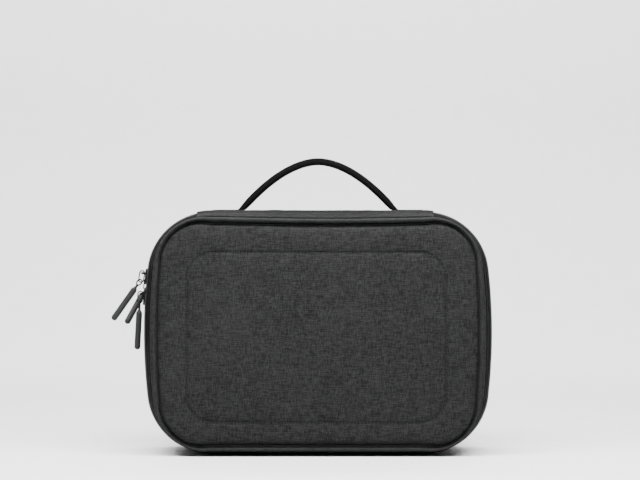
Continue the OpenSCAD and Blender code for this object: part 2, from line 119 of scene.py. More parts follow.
class Build:
    """Collects vertices, faces and UVs (in metres) for one mesh."""

    def __init__(self):
        self.verts, self.faces, self.uvs = [], [], []

    def grid(self, rows, us, vs, wrap_u=False, wrap_v=False, swap=False):
        """rows[j][i] are points; us has one value a column and vs one a row, plus the closing ones."""
        start, n, m = len(self.verts), len(rows[0]), len(rows)
        for row in rows:
            self.verts.extend(row)
        for j in range(m if wrap_v else m - 1):
            for i in range(n if wrap_u else n - 1):
                ids = [(i, j), (i + 1, j), (i + 1, j + 1), (i, j + 1)]
                self.faces.append([start + (b % m) * n + a % n for a, b in ids])
                self.uvs.extend((vs[b], us[a]) if swap else (us[a], vs[b]) for a, b in ids)

    def cap(self, ids, uvs=None):
        """One face over vertices that are already there."""
        ids = list(ids)
        self.faces.append(ids)
        self.uvs.extend(uvs or [(0.0, 0.0)] * len(ids))

    def lay_flat(self):
        """Take every UV from X and Z."""
        self.uvs = [(self.verts[k].x, self.verts[k].z) for face in self.faces for k in face]
        return self

    def tube(self, path, radius, sides=8, closed=False, up=None, squash=1.0, caps=True):
        """A round tube along a path; radius is a number or a function of the distance along."""
        n = len(path)
        rows, us, run = [], [], 0.0
        normal = None
        for i, p in enumerate(path):
            a = path[(i - 1) % n] if closed or i > 0 else p
            b = path[(i + 1) % n] if closed or i < n - 1 else p
            t = (b - a).normalized()
            if up is not None:
                normal = (up - t * up.dot(t)).normalized()
            elif normal is None:
                seed = Vector((0, 1, 0)) if abs(t.y) < 0.9 else Vector((1, 0, 0))
                normal = (seed - t * seed.dot(t)).normalized()
            else:
                normal = (normal - t * normal.dot(t)).normalized()
            side = t.cross(normal)
            if i:
                run += (p - path[i - 1]).length
            r = radius(run) if callable(radius) else radius
            rows.append([p + (normal * math.cos(q) * squash + side * math.sin(q)) * r
                         for q in (2 * math.pi * k / sides for k in range(sides))])
            us.append(run)
        if closed:
            us.append(run + (path[0] - path[-1]).length)
        r = radius(0) if callable(radius) else radius
        vs = [2 * math.pi * r * k / sides for k in range(sides + 1)]
        start = len(self.verts)
        # rows run along the tube here, so the columns are the sides
        self.grid(rows, vs, us, wrap_u=True, wrap_v=closed)
        if caps and not closed:
            for base, order in ((start, -1), (start + (n - 1) * sides, 1)):
                self.cap([base + k for k in range(sides)][::order])

    def mesh(self, name, recalc):
        mesh = bpy.data.meshes.new(name)
        mesh.from_pydata([tuple(v) for v in self.verts], [], self.faces)
        layer = mesh.uv_layers.new(name="UVMap")
        flat = [c for uv in self.uvs for c in uv]
        layer.data.foreach_set("uv", flat)
        if recalc:
            bm = bmesh.new()
            bm.from_mesh(mesh)
            bmesh.ops.recalc_face_normals(bm, faces=bm.faces)
            bm.to_mesh(mesh)
            bm.free()
        mesh.validate()
        return mesh

    def piece(self, name, material, body=None, *nodes, shade=True, recalc=True):
        mesh = self.mesh(name, recalc)
        mesh.materials.append(material)
        if shade:
            shade_smooth(mesh)
        mesh.update()
        return belongs(placed(name, mesh), body, *nodes)


# ---------------------------------------------------------------- outline of the case

class Outline:
    """The case's outline in the plane of X and Z: straight long sides, round corners, bowed short sides.
    Moved inwards, the top and bottom edges draw in by a share of what the sides draw in by, and square
    above zero keeps the corners fuller, from the wall's rear edge inwards."""

    def __init__(self, share=1.0, square=0.0):
        self.share, self.square = share, square
        side_cx = HALF_W - SIDE_R
        cz = HALF_H - CORNER_R
        cx = side_cx + math.sqrt((SIDE_R - CORNER_R) ** 2 - cz ** 2)
        tilt = math.atan2(cz, cx - side_cx)
        self.cx, self.cz, self.side_cx, self.tilt = cx, cz, side_cx, tilt
        quarter = math.pi / 2
        self.parts = [
            ("line", (0, -HALF_H), (cx, -HALF_H)),
            ("arc", (cx, -cz), CORNER_R, -quarter, -tilt),
            ("arc", (side_cx, 0), SIDE_R, -tilt, tilt),
            ("arc", (cx, cz), CORNER_R, tilt, quarter),
            ("line", (cx, HALF_H), (-cx, HALF_H)),
            ("arc", (-cx, cz), CORNER_R, quarter, 2 * quarter - tilt),
            ("arc", (-side_cx, 0), SIDE_R, 2 * quarter - tilt, 2 * quarter + tilt),
            ("arc", (-cx, -cz), CORNER_R, 2 * quarter + tilt, 3 * quarter),
            ("line", (-cx, -HALF_H), (0, -HALF_H)),
        ]
        self.lengths = [math.dist(p[1], p[2]) if p[0] == "line" else p[2] * abs(p[4] - p[3])
                        for p in self.parts]
        self.total = sum(self.lengths)

    def at(self, s):
        """Point (x, z) and outward normal at a distance along, from the middle of the bottom."""
        s %= self.total
        for part, length in zip(self.parts, self.lengths):
            if s <= length or part is self.parts[-1]:
                t = min(1.0, s / length)
                if part[0] == "line":
                    (x0, z0), (x1, z1) = part[1], part[2]
                    return (x0 + (x1 - x0) * t, MID_Z + z0 + (z1 - z0) * t), (0.0, 1.0 if z0 > 0 else -1.0)
                (cx, cz), r, a0, a1 = part[1:]
                a = a0 + (a1 - a0) * t
                return (cx + r * math.cos(a), MID_Z + cz + r * math.sin(a)), (math.cos(a), math.sin(a))
            s -= length

    def fullness(self, nx, nz):
        return self.square * (abs(nx) + abs(nz) - 1) / (math.sqrt(2) - 1)

    def point(self, s, inset, y):
        (x, z), (nx, nz) = self.at(s)
        k = (HALF_H - self.share * inset) / (HALF_H - inset)
        inset -= self.fullness(nx, nz) * max(0.0, inset - FULL_FROM)
        return Vector((x - nx * inset, y, MID_Z + (z - MID_Z - nz * inset) * k))

    def depth(self, x, z):
        """How far in the outline that runs through a point lies."""
        far, d = 30 * MM, 0.0
        for _ in range(1 if self.share == 1 else 7):
            k = (HALF_H - self.share * d) / (HALF_H - d)
            d = self.plain_depth(x, MID_Z + (z - MID_Z) / k)
            d = min(max(d, 0.0), far) if self.share != 1 else d
        return d

    def plain_depth(self, x, z):
        x, z = abs(x), abs(z - MID_Z)
        dx, dz = x - self.cx, z - self.cz
        side = math.hypot(x - self.side_cx, z)
        if dx > 0 and dz > 0 and math.atan2(dz, dx) > self.tilt:
            d, nx, nz = CORNER_R - math.hypot(dx, dz), dx / math.hypot(dx, dz), dz / math.hypot(dx, dz)
        elif HALF_H - z < SIDE_R - side:
            d, nx, nz = HALF_H - z, 0.0, 1.0
        else:
            d, nx, nz = SIDE_R - side, (x - self.side_cx) / side, z / side
        full = self.fullness(nx, nz)
        return d if d < FULL_FROM else (d - full * FULL_FROM) / (1 - full)

    def s_at_top(self, x):
        """Distance along at which the top straight has this X."""
        return sum(self.lengths[:4]) + self.cx - x


CASE = Outline()
LID = Outline(0.74, SQUARE)
LID_PANEL = Outline(0.80, SQUARE)
LID_PIPING = Outline(0.62, SQUARE)
TOP_MIDDLE = CASE.s_at_top(0)


def settle(p):
    """The soft front edge sags a little under the hinge strip, most of all near the middle."""
    top = smooth((p.z - 0.135) / 0.028)
    front = smooth((-0.019 - p.y) / 0.012)
    p.z -= 1.75 * MM * bump(p.x - 8 * MM, 75 * MM) * top * front
    return p


def settled(p, s, j):
    return settle(p)


def outwards(p, s, amount):
    """Move a point of the outline outwards."""
    nx, nz = CASE.at(s)[1]
    return p + Vector((nx, 0, nz)) * amount


def band(near, far, front, rear):
    """The four corners of a band's section, between two insets and two depths."""
    return [(near, front), (near, rear), (far, rear), (far, front)]


def runs(points):
    """Distance along at each of a row of points."""
    out = [0.0]
    for a, b in zip(points, points[1:]):
        out.append(out[-1] + math.dist(a, b))
    return out


def outline_rows(section, stations, shape, outline):
    rows = [[outline.point(s, inset, y) for s in stations] for inset, y in section]
    if shape:
        rows = [[shape(p, s, j) for p, s in zip(row, stations)] for j, row in enumerate(rows)]
    return rows


def sweep(section, columns, s0=0.0, s1=None, closed=True, shape=None, build=None, outline=CASE):
    """Sweep a section of (inset, y) points along the outline, from s0 to s1 or all the way round."""
    build = build or Build()
    loop = s1 is None
    length = CASE.total if loop else s1 - s0
    count = columns if loop else columns + 1
    stations = [s0 + length * i / columns for i in range(count)]
    rows = outline_rows(section, stations, shape, outline)
    us = [s0 + length * i / columns for i in range(columns + 1)]
    vs = runs(section + section[:1])
    start = len(build.verts)
    build.grid(rows, us, vs, wrap_u=loop, wrap_v=closed)
    if closed and not loop:
        for end in (0, count - 1):
            build.cap([start + j * count + end for j in range(len(section))], section)
    return build


def round_section(inset, y, r, steps=14):
    return [(inset + r * math.cos(a), y + r * math.sin(a))
            for a in (2 * math.pi * k / steps for k in range(steps))]


def soften(section, radius, steps=3):
    """Round each corner of a closed section."""
    out = []
    n = len(section)
    for i in range(n):
        a, b, c = (Vector(section[(i + k) % n]) for k in (-1, 0, 1))
        ra = min(radius, (a - b).length * 0.45)
        rc = min(radius, (c - b).length * 0.45)
        p = b + (a - b).normalized() * ra
        q = b + (c - b).normalized() * rc
        for k in range(steps + 1):
            t = k / steps
            out.append(tuple(p * (1 - t) ** 2 + b * 2 * t * (1 - t) + q * t ** 2))
    return out


def dense(section, step):
    """Put points every step along a closed section."""
    out = []
    for a, b in zip(section, section[1:] + section[:1]):
        n = max(1, round(math.dist(a, b) / step))
        out += [(a[0] + (b[0] - a[0]) * k / n, a[1] + (b[1] - a[1]) * k / n) for k in range(n)]
    return out


# ---------------------------------------------------------------- materials


class Shade:
    """A short way to write a node tree."""

    def __init__(self, name, slot=None):
        self.mat = bpy.data.materials.new(name)
        self.mat.use_nodes = True
        self.tree = self.mat.node_tree
        self.tree.nodes.clear()
        self.out = self.tree.nodes.new("ShaderNodeOutputMaterial")
        self.bsdf = self.tree.nodes.new("ShaderNodeBsdfPrincipled")
        self.tree.links.new(self.bsdf.outputs[0], self.out.inputs["Surface"])

    def put(self, socket, value):
        if isinstance(value, bpy.types.NodeSocket):
            self.tree.links.new(value, socket)
        elif isinstance(value, (tuple, list)) and len(value) == 3 and socket.type == "RGBA":
            socket.default_value = (*value, 1)
        else:
            socket.default_value = value

    def node(self, kind, props=None, **inputs):
        node = self.tree.nodes.new(kind)
        for key, value in (props or {}).items():
            setattr(node, key, value)
        for key, value in inputs.items():
            self.put(node.inputs[key.replace("_", " ")], value)
        return node

    def math(self, op, a, b=0.0):
        node = self.node("ShaderNodeMath", {"operation": op})
        self.put(node.inputs[0], a)
        self.put(node.inputs[1], b)
        return node.outputs[0]

    def add(self, a, b):
        return self.math("ADD", a, b)

    def mul(self, a, b):
        return self.math("MULTIPLY", a, b)

    def less(self, a, b):
        return self.math("SUBTRACT", a, b)

    def per(self, a, b):
        return self.math("DIVIDE", a, b)

    def sine(self, value, step):
        return self.math("SINE", self.mul(value, math.pi / step))

    def ridge(self, value, step):
        """Round ridges, one in each step."""
        return self.math("ABSOLUTE", self.sine(value, step))

    def either(self, choice, a, b):
        return self.add(self.mul(choice, a), self.mul(self.less(1.0, choice), b))

    def uv(self):
        place = self.node("ShaderNodeUVMap", {"uv_map": "UVMap"}).outputs[0]
        split = self.node("ShaderNodeSeparateXYZ", Vector=place)
        return split.outputs[0], split.outputs[1]

    def place(self):
        return self.node("ShaderNodeTexCoord").outputs["Object"]

    def vector(self, x, y, z=0.0):
        node = self.node("ShaderNodeCombineXYZ")
        for socket, value in zip(node.inputs, (x, y, z)):
            self.put(socket, value)
        return node.outputs[0]

    def noise(self, vector, scale=1.0, detail=2.0, rough=0.5):
        node = self.node("ShaderNodeTexNoise", Vector=vector, Scale=scale, Detail=detail, Roughness=rough)
        return node.outputs[0]

    def mix(self, factor, a, b):
        node = self.node("ShaderNodeMix", {"data_type": "RGBA"})
        self.put(node.inputs["Factor"], factor)
        self.put(node.inputs[6], a)
        self.put(node.inputs[7], b)
        return node.outputs[2]

    def span(self, value, low, high, to_low=0.0, to_high=1.0):
        node = self.node("ShaderNodeMapRange")
        for socket, v in zip(node.inputs, (value, low, high, to_low, to_high)):
            self.put(socket, v)
        return node.outputs[0]

    def bump(self, height, strength, distance):
        node = self.node("ShaderNodeBump", Height=height, Strength=strength, Distance=distance)
        return node.outputs[0]

    def surface(self, color, rough, normal=None, **fixed):
        self.put(self.bsdf.inputs["Base Color"], color)
        self.put(self.bsdf.inputs["Roughness"], rough)
        if normal is not None:
            self.put(self.bsdf.inputs["Normal"], normal)
        for key, value in fixed.items():
            self.bsdf.inputs[key.replace("_", " ")].default_value = value
        return self.mat


def grey(level, tint=0.0):
    """A grey of one level; tint above zero leans to blue."""
    return (level * (1 - tint), level, level * (1 + tint))


def woven(name, slot, dark, light, pitch=0.5, slub=2.4, contrast=1.0, turn=0.0, tint=0.02, dust=0.15,
          specular=0.12):
    """Plain weave of two-tone yarns: each yarn drifts between a dark and a light tone along its length."""
    s = Shade(name, slot)
    u, v = s.uv()
    if turn:
        c, d = math.cos(turn), math.sin(turn)
        u, v = s.add(s.mul(u, c), s.mul(v, d)), s.less(s.mul(v, c), s.mul(u, d))
    a, b = s.per(u, pitch * MM), s.per(v, pitch * MM)
    over = s.math("GREATER_THAN", s.mul(s.sine(a, 1), s.sine(b, 1)), 0.0)
    run, fine = slub * MM, 0.62 * MM
    weft = s.noise(s.vector(s.per(u, run), s.math("FLOOR", b), 0.37), 1.0, 1.0)
    warp = s.noise(s.vector(s.math("FLOOR", a), s.per(v, run), 7.9), 1.0, 1.0)
    thick_weft = s.noise(s.vector(s.per(u, 2.6 * run), s.per(v, fine), 3.1), 1.0, 1.0)
    thick_warp = s.noise(s.vector(s.per(u, fine), s.per(v, 1.5 * run), 5.3), 1.0, 1.0)
    weft = s.span(s.add(weft, thick_weft), 0.78, 1.22)
    warp = s.span(s.add(warp, thick_warp), 0.78, 1.22)
    yarn = s.span(s.either(over, weft, warp), 0.5 - 0.5 / contrast, 0.5 + 0.5 / contrast)
    broad = s.noise(s.vector(u, v, 1.7), 22.0, 3.0)
    color = s.mix(yarn, grey(dark, tint), grey(light, tint))
    color = s.mix(s.span(broad, 0.42, 0.72, 0.0, dust), color, grey(light * 1.25))
    height = s.add(s.either(over, s.ridge(b, 1), s.ridge(a, 1)), s.mul(yarn, 0.5))
    return s.surface(color, s.span(yarn, 0.0, 1.0, 0.91, 0.80), s.bump(height, 0.3, 0.25 * MM),
                     Specular_IOR_Level=specular)


def ribbed(name, slot, dark, light, pitch, relief=0.5, specular=0.15):
    """Webbing and tape: fine ribs across the run, with a slight yarn grain."""
    s = Shade(name, slot)
    u, v = s.uv()
    ribs, cross = s.ridge(u, pitch * MM), s.ridge(v, 0.8 * MM)
    grain = s.noise(s.vector(s.per(u, 0.5 * MM), s.per(v, 2.5 * MM)), 1.0, 2.0)
    height = s.add(ribs, s.add(s.mul(cross, 0.35), s.mul(grain, 0.5)))
    color = s.mix(s.span(s.add(ribs, grain), 0.5, 1.7), grey(dark, 0.02), grey(light, 0.02))
    return s.surface(color, s.span(grain, 0.3, 0.7, 0.85, 0.75), s.bump(height, relief, 0.25 * MM),
                     Specular_IOR_Level=specular)


def fuzzy(name, slot, dark, light, sheen, scale=900.0, relief=0.35):
    """Brushed loop fabric: soft short pile with faint cloudy shading."""
    s = Shade(name, slot)
    place = s.place()
    fine = s.noise(place, scale, 3.0, 0.7)
    cloud = s.noise(place, 38.0, 3.0)
    color = s.mix(s.span(s.add(fine, s.mul(cloud, 0.9)), 0.65, 1.25), grey(dark, 0.02), grey(light, 0.02))
    return s.surface(color, s.span(fine, 0.3, 0.7, 0.97, 0.86), s.bump(fine, relief, 0.3 * MM),
                     Sheen_Weight=sheen, Sheen_Roughness=0.6, Specular_IOR_Level=0.2)


def hard(name, slot, color, rough, relief=0.04, scale=600.0, wear=0.1, **fixed):
    """Moulded plastic, enamel or metal with a fine grain and slight wear."""
    s = Shade(name, slot)
    place = s.place()
    grain = s.noise(place, scale, 3.0)
    scuff = s.noise(place, scale * 0.18, 4.0, 0.7)
    worn = tuple(min(1.0, c * 1.8 + 0.01) for c in color)
    tone = s.mix(s.span(scuff, 0.55, 0.8, 0.0, wear), color, worn)
    rough = s.span(scuff, 0.3, 0.7, rough - 0.06, rough + 0.08)
    return s.surface(tone, rough, s.bump(grain, relief, 0.1 * MM), **fixed)


FABRIC = woven("heather_panel", "heather_fabric", 0.0026, 0.0168, slub=3.4, contrast=1.4)
# The gusset is the same heather cloth as the front panel, with darker tones painted in as shade on the lid
# and base walls.
SHADED_GUSSET = woven("heather_gusset_painted_shade", "gusset_fabric", 0.0016, 0.0068, contrast=1.2, specular=0.02)
PIPING = woven("piping_cover", "piping_fabric", 0.0058, 0.0215, slub=1.8, turn=math.pi / 4, specular=0.06)
STRIP_CLOTH = woven("hinge_strip_cloth", "strip_fabric", 0.0020, 0.0090, slub=3.0, contrast=1.3)
TAPE = ribbed("zip_tape", "tape", 0.003, 0.008, pitch=0.9, specular=0.04)
BINDING = ribbed("binding_tape", "binding", 0.004, 0.010, pitch=0.8)
COIL = hard("nylon_coil", "coil", (0.007, 0.007, 0.0075), 0.4, Specular_IOR_Level=0.45)
THREAD = hard("thread", "thread", (0.004, 0.004, 0.0045), 0.7, relief=0.2, scale=2500,
              Specular_IOR_Level=0.25)
WEBBING = ribbed("webbing", "webbing", 0.0012, 0.0048, pitch=1.25, relief=0.8, specular=0.04)
METAL = hard("black_enamel", "slider_metal", (0.003, 0.003, 0.0032), 0.45, wear=0.15,
             Specular_IOR_Level=0.12)
CORD = fuzzy("pull_cord", "cord", 0.003, 0.010, scale=2200.0, relief=0.8, sheen=0.0)
GRIP = hard("grip_rubber", "grip", (0.013, 0.0133, 0.014), 0.62, relief=0.25, scale=1400, wear=0.2,
            Specular_IOR_Level=0.25)
EDGE_BOARD = hard("board", "board", (0.03, 0.03, 0.03), 0.8)


# ---------------------------------------------------------------- padded panels

def seam_distance(x, z):
    """Signed distance to the stitched rounded rectangle on the front panel, negative inside."""
    qx = abs(x - SEAM_X) - (SEAM_W / 2 - SEAM_R)
    qz = abs(z - SEAM_Z) - (SEAM_H / 2 - SEAM_R)
    return math.hypot(max(qx, 0), max(qz, 0)) + min(max(qx, qz), 0) - SEAM_R


def reach(angle, inside, far):
    """Distance from the middle of the panel, along a direction, to where inside() turns false."""
    dx, dz = math.cos(angle), math.sin(angle)
    low, high = 0.0, far
    for _ in range(26):
        mid = (low + high) / 2
        if inside(dx * mid, SEAM_Z + dz * mid):
            low = mid
        else:
            high = mid
    return low


OUTER_RINGS = [(1 - math.cos(math.pi * k / 25)) / 2 for k in range(25)]
INNER_RINGS = [1 - (k / 23) ** 2.2 for k in range(23)]


def panel_build(inset, height, back_y, columns=640, shape=None, outline=CASE):
    """A soft panel inside the outline, flat at the back; height(x, z) gives the face's y."""
    build = Build()
    edge, seam = [], []
    for i in range(columns):
        a = 2 * math.pi * i / columns
        edge.append(reach(a, lambda x, z: outline.depth(x, z) > inset, 0.2))
        seam.append(reach(a, lambda x, z: seam_distance(x, z) < 0, 0.2))
    radii = [[e + (m - e) * t for e, m in zip(edge, seam)] for t in OUTER_RINGS]
    radii += [[m * t for m in seam] for t in INNER_RINGS]

    def at(x, z):
        p = Vector((x, height(x, z), z))
        return shape(p) if shape else p

    turns = [2 * math.pi * i / columns for i in range(columns + 1)]
    rows = [[at(r * math.cos(a), SEAM_Z + r * math.sin(a)) for r, a in zip(ring, turns)] for ring in radii]
    rows.insert(0, [Vector((p.x, back_y, p.z)) for p in rows[0]])
    build.grid(rows, turns, range(len(rows)), wrap_u=True)
    middle = len(build.verts)
    build.verts.append(at(0, SEAM_Z))
    for i in range(columns):
        build.cap([middle - columns + i, middle - columns + (i + 1) % columns, middle])
    build.cap(range(columns - 1, -1, -1))
    return build.lay_flat()


def front_height(x, z):
    """The lid's face: it rolls over at the edge, and the stitched outline presses a shallow channel."""
    d = max(0.0, LID_PANEL.depth(x, z) - PANEL_INSET)
    away = seam_distance(x, z)
    edge_drop = 4.1 * MM
    rise = edge_drop * (0.75 * (1 - math.exp(-d / (1.2 * MM))) + 0.25 * (1 - math.exp(-d / (4.5 * MM))))
    pillow = 0.5 * MM * (1 - math.exp(-d / (9 * MM))) * (1 - math.exp(-abs(away) / (7 * MM)))
    channel = 0.65 * MM * bump(away, 0.9 * MM) + 0.35 * MM * bump(away, 4.5 * MM)
    pucker = wander(x, 3.0, z, 3.2 * MM, 0.22 * MM) * bump(away, 4.5 * MM)
    wave = wander(x, 1.0, z, 48 * MM, 0.35 * MM) * (1 - math.exp(-d / (12 * MM)))
    return FRONT_Y + edge_drop - rise - pillow + channel + pucker + wave


def back_height(x, z):
    d = max(0.0, CASE.depth(x, z) - BACK_PANEL_INSET)
    rise = 2.4 * MM * (1 - math.exp(-d / (3.4 * MM)))
    pillow = 0.5 * MM * (1 - math.exp(-d / (14 * MM)))
    wave = wander(x, 5.0, z, 52 * MM, 0.4 * MM) * (1 - math.exp(-d / (12 * MM)))
    return BACK_Y - 2.4 * MM + rise + pillow + wave


def stitch_run(build, points, radius=0.2 * MM, duty=0.72):
    """Short thread stitches along evenly spaced points; each starts at one point and heads for the next."""
    for a, b in zip(points, points[1:]):
        m = a + (b - a) * duty
        lift = (b - a).length * 0.03
        path = [a, a.lerp(m, 0.25) + Vector((0, -lift, 0)), a.lerp(m, 0.75) + Vector((0, -lift, 0)), m]
        build.tube(path, radius, sides=5)


def stitch(build, place, length, step, radius=0.2 * MM, duty=0.72):
    """Stitches along place(t), for t from 0 to 1."""
    count = round(length / step)
    stitch_run(build, [place(i / count) for i in range(count + 1)], radius, duty)


def seam_point(t):
    """A point on the stitched outline, by distance along it."""
    straight_w, straight_h = SEAM_W - 2 * SEAM_R, SEAM_H - 2 * SEAM_R
    arc = SEAM_R * math.pi / 2
    t %= 2 * (straight_w + straight_h + 2 * arc)
    x, z, a = -straight_w / 2, -SEAM_H / 2, 0
    for length in (straight_w, arc, straight_h, arc) * 2:
        c, d = round(math.cos(a)), round(math.sin(a))
        line = length != arc
        if t <= length:
            if line:
                return SEAM_X + x + c * t, SEAM_Z + z + d * t
            q = t / SEAM_R
            along, over = SEAM_R * math.sin(q), SEAM_R * (1 - math.cos(q))
            return SEAM_X + x + c * along - d * over, SEAM_Z + z + d * along + c * over
        t -= length
        if line:
            x, z = x + c * length, z + d * length
        else:
            x, z = x + (c - d) * SEAM_R, z + (d + c) * SEAM_R
            a += math.pi / 2


SEAM_LENGTH = 2 * (SEAM_W + SEAM_H - 4 * SEAM_R) + 2 * math.pi * SEAM_R


WALL_FRONT = (5.3 * MM, LID_BOARD[0].y - 0.5 * MM)
WALL_REAR = (2.6 * MM, LID_TAPE[0].y - 1.4 * MM)


def wall_inset(y):
    """How far inside the outline the outer face of the lid's wall lies."""
    t = (y - WALL_FRONT[1]) / (WALL_REAR[1] - WALL_FRONT[1])
    return WALL_FRONT[0] + (WALL_REAR[0] - WALL_FRONT[0]) * min(1.0, max(0.0, t))


def lid_outside():
    panel = panel_build(PANEL_INSET, front_height, LID_BOARD[0].y, shape=settle, outline=LID_PANEL)
    obj = panel.piece("front_panel", FABRIC, "lid", "lid_panel")

    def on_outline(t):
        x, z = seam_point(t * SEAM_LENGTH)
        return settle(Vector((x, front_height(x, z) - 0.12 * MM, z)))

    stitches = Build()
    stitch(stitches, on_outline, SEAM_LENGTH, 2.5 * MM, 0.36 * MM, 0.7)
    stitches.piece("outline_stitching", THREAD, "lid", "lid_outline_seam")

    def cord_shape(p, s, j):
        join = s - TOP_MIDDLE
        grow = 0.25 * MM * bump(join, 1.1 * MM) - 0.2 * MM * bump(join - 1.8 * MM, 0.5 * MM)
        centre = LID_PIPING.point(s, PIPING_INSET, LID_BOARD[0].y - PIPING_R)
        p = p + (p - centre).normalized() * grow
        p += (p - centre).normalized() * wander(s, j * 0.4, 0, 9 * MM, 0.10 * MM)
        return settle(p)

    section = round_section(PIPING_INSET, LID_BOARD[0].y - PIPING_R, PIPING_R - 0.05 * MM, 18)
    tube = sweep(section, 900, shape=cord_shape, outline=LID_PIPING)
    tube.piece("front_piping", PIPING, "lid", "lid_piping")

    board_inset = (CASE_HI.z - LID_BOARD[1].z) / LID.share + 0.5 * MM
    board = stack([(board_inset, LID_BOARD[0].y), (board_inset, LID_BOARD[1].y)], 300,
                  settled, LID)
    board.piece("lid_board", EDGE_BOARD, "lid", "lid_stiffener", shade=False)

    # Dark cords in the grooves on either side of the piping: partly the seams' stitched folds, partly
    # painted shade that blackens the grooves.
    seams_and_groove_shade = Build()
    sweep(round_section(PANEL_INSET - 0.25 * MM, LID_BOARD[0].y - 0.9 * MM, 0.75 * MM, 8), 480,
          shape=settled, build=seams_and_groove_shade, outline=LID)
    sweep(round_section(6.3 * MM, LID_BOARD[0].y - 0.3 * MM, 0.6 * MM, 8), 480,
          shape=settled, build=seams_and_groove_shade, outline=LID_PIPING)
    seams_and_groove_shade.piece("piping_seams_and_groove_shade", THREAD, "lid")

    steps = 10
    outer = [(6.9 * MM, LID_BOARD[0].y + 0.1 * MM), (WALL_FRONT[0] + 0.7 * MM, WALL_FRONT[1] + 0.05 * MM)]
    tuck = len(outer)
    for k in range(steps + 1):
        y = WALL_FRONT[1] + (WALL_REAR[1] - WALL_FRONT[1]) * k / steps
        outer.append((wall_inset(y) - 0.4 * MM * math.sin(math.pi * k / steps), y))
    rear, floor_y = LID_TAPE[0].y, LID_BOARD[1].y
    inner = [(3.3 * MM, rear), (5.0 * MM, (rear + floor_y) / 2), (6.6 * MM, floor_y),
             (6.9 * MM, LID_BOARD[0].y)]

    def wall_shape(p, s, j):
        if tuck <= j <= tuck + steps:
            t = (j - tuck) / steps
            p = outwards(p, s, wander(s, 2.0 + t, 0, 34 * MM, 0.3 * MM) * math.sin(math.pi * t))
        return settle(p)

    wall = sweep(outer + inner, 720, shape=wall_shape, outline=LID)
    obj = wall.piece("lid_wall", SHADED_GUSSET, "lid", "lid_gusset")


def zip_tapes():
    on_lid = [(2.3 * MM, WALL_REAR[1] - 0.4 * MM), (1.3 * MM, LID_TAPE[1].y), (2.3 * MM, LID_TAPE[1].y),
              (3.2 * MM, WALL_REAR[1])]
    on_base = band(0.9 * MM, 2.0 * MM, BASE_TAPE[0].y, BASE_TAPE[1].y)
    for name, section, body, node in (("lid_tape", on_lid, "lid", "lid_zip_tape"),
                                      ("base_tape", on_base, "case", "base_zip_tape")):
        sweep(soften(section, 0.25 * MM, 2), 480).piece(name, TAPE, body, node)


COIL_PITCH = 1.45 * MM
COIL_WIRE = 0.33 * MM


def coil_path(s0, s1, inset, y, half_inset, half_y, phase, turn_steps=9):
    """One flattened helix along the outline."""
    turns = (s1 - s0) / COIL_PITCH
    count = int(turns * turn_steps)
    path = []
    for i in range(count + 1):
        a = 2 * math.pi * i / turn_steps + phase
        path.append(CASE.point(s0 + COIL_PITCH * i / turn_steps, inset + half_inset * math.cos(a),
                               y + half_y * math.sin(a)))
    return path


def main_coils():
    start = coil_end(STRIP[0].x) - CASE.total
    stop = coil_end(STRIP[1].x)
    for name, body, node, y, phase in (("lid_coil", "lid", "lid_zip_coil", ZIP_Y - 1.12 * MM, 0.0),
                                       ("base_coil", "case", "base_zip_coil", ZIP_Y + 1.12 * MM, math.pi)):
        coil = Build()
        coil.tube(coil_path(start, stop, 1.05 * MM, y, 0.8 * MM, 1.0 * MM, phase), COIL_WIRE, sides=5)
        core = band(0.55 * MM, 1.6 * MM, y - 1.06 * MM, y + 1.06 * MM)
        sweep(soften(core, 0.3 * MM, 2), 400, start, stop, build=coil)
        coil.piece(name, COIL, body, node)


def coil_end(x):
    """Distance along at which the outline passes under one end of the hinge strip."""
    low, high = CASE.s_at_top(CASE.cx) - 40 * MM, CASE.s_at_top(-CASE.cx) + 40 * MM
    for _ in range(40):
        mid = (low + high) / 2
        if CASE.at(mid)[0][0] > x:
            low = mid
        else:
            high = mid
    return low


def hinge_strip():
    """One strip of cloth over the gap between lid and base, with turned edges."""
    s0, s1 = coil_end(STRIP[1].x), coil_end(STRIP[0].x)
    length = s1 - s0
    columns, steps = 180, 30
    rear, front = STRIP[1].y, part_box("hinge_strip_lid")[0].y - 0.6 * MM

    def top_inset(y):
        over = -0.75 * MM - 0.3 * MM * bump(y - ZIP_Y, 2.6 * MM)
        on_lid = LID.share * wall_inset(y) - 0.95 * MM
        return over + (on_lid - over) * smooth((ZIP_Y - 0.5 * MM - y) / (4.5 * MM))

    ys = [rear + (front - rear) * k / steps for k in range(steps + 1)]
    section = [(top_inset(y), y) for y in ys] + [(top_inset(y) + 0.6 * MM, y) for y in reversed(ys)]

    def shape(p, s, j):
        k = j if j <= steps else 2 * steps + 1 - j
        edge = min(k, steps - k) / steps
        end = min(s - s0, s1 - s) / MM
        crease = wander(s, k * 0.35, 0.0, 11 * MM, 0.28 * MM) + wander(s, k * 0.2, 4.0, 30 * MM, 0.35 * MM)
        p.z += crease * smooth(edge * 5) * smooth(end / 6) - 0.1 * MM
        if k < 2 or k > steps - 2:
            p.y += wander(s, 9.0 + (k > 2), 0.0, 24 * MM, 0.35 * MM)
        return settle(p)

    strip = sweep(section, columns, s0, s1, shape=shape)
    obj = strip.piece("hinge_strip", STRIP_CLOTH, None, "hinge_strip_base", "hinge_strip_lid")
    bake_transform(obj)
    for name, edge_y, body in (("hinge_stitching_rear", rear - 1.6 * MM, "case"),
                               ("hinge_stitching_front", front + 1.6 * MM, "lid")):
        inset = top_inset(edge_y) - 0.16 * MM
        stitches = Build()
        stitch(stitches, lambda t: settle(CASE.point(s0 + 2 * MM + (length - 4 * MM) * t, inset, edge_y)),
               length, 2.4 * MM)
        stitches.piece(name, THREAD, body)


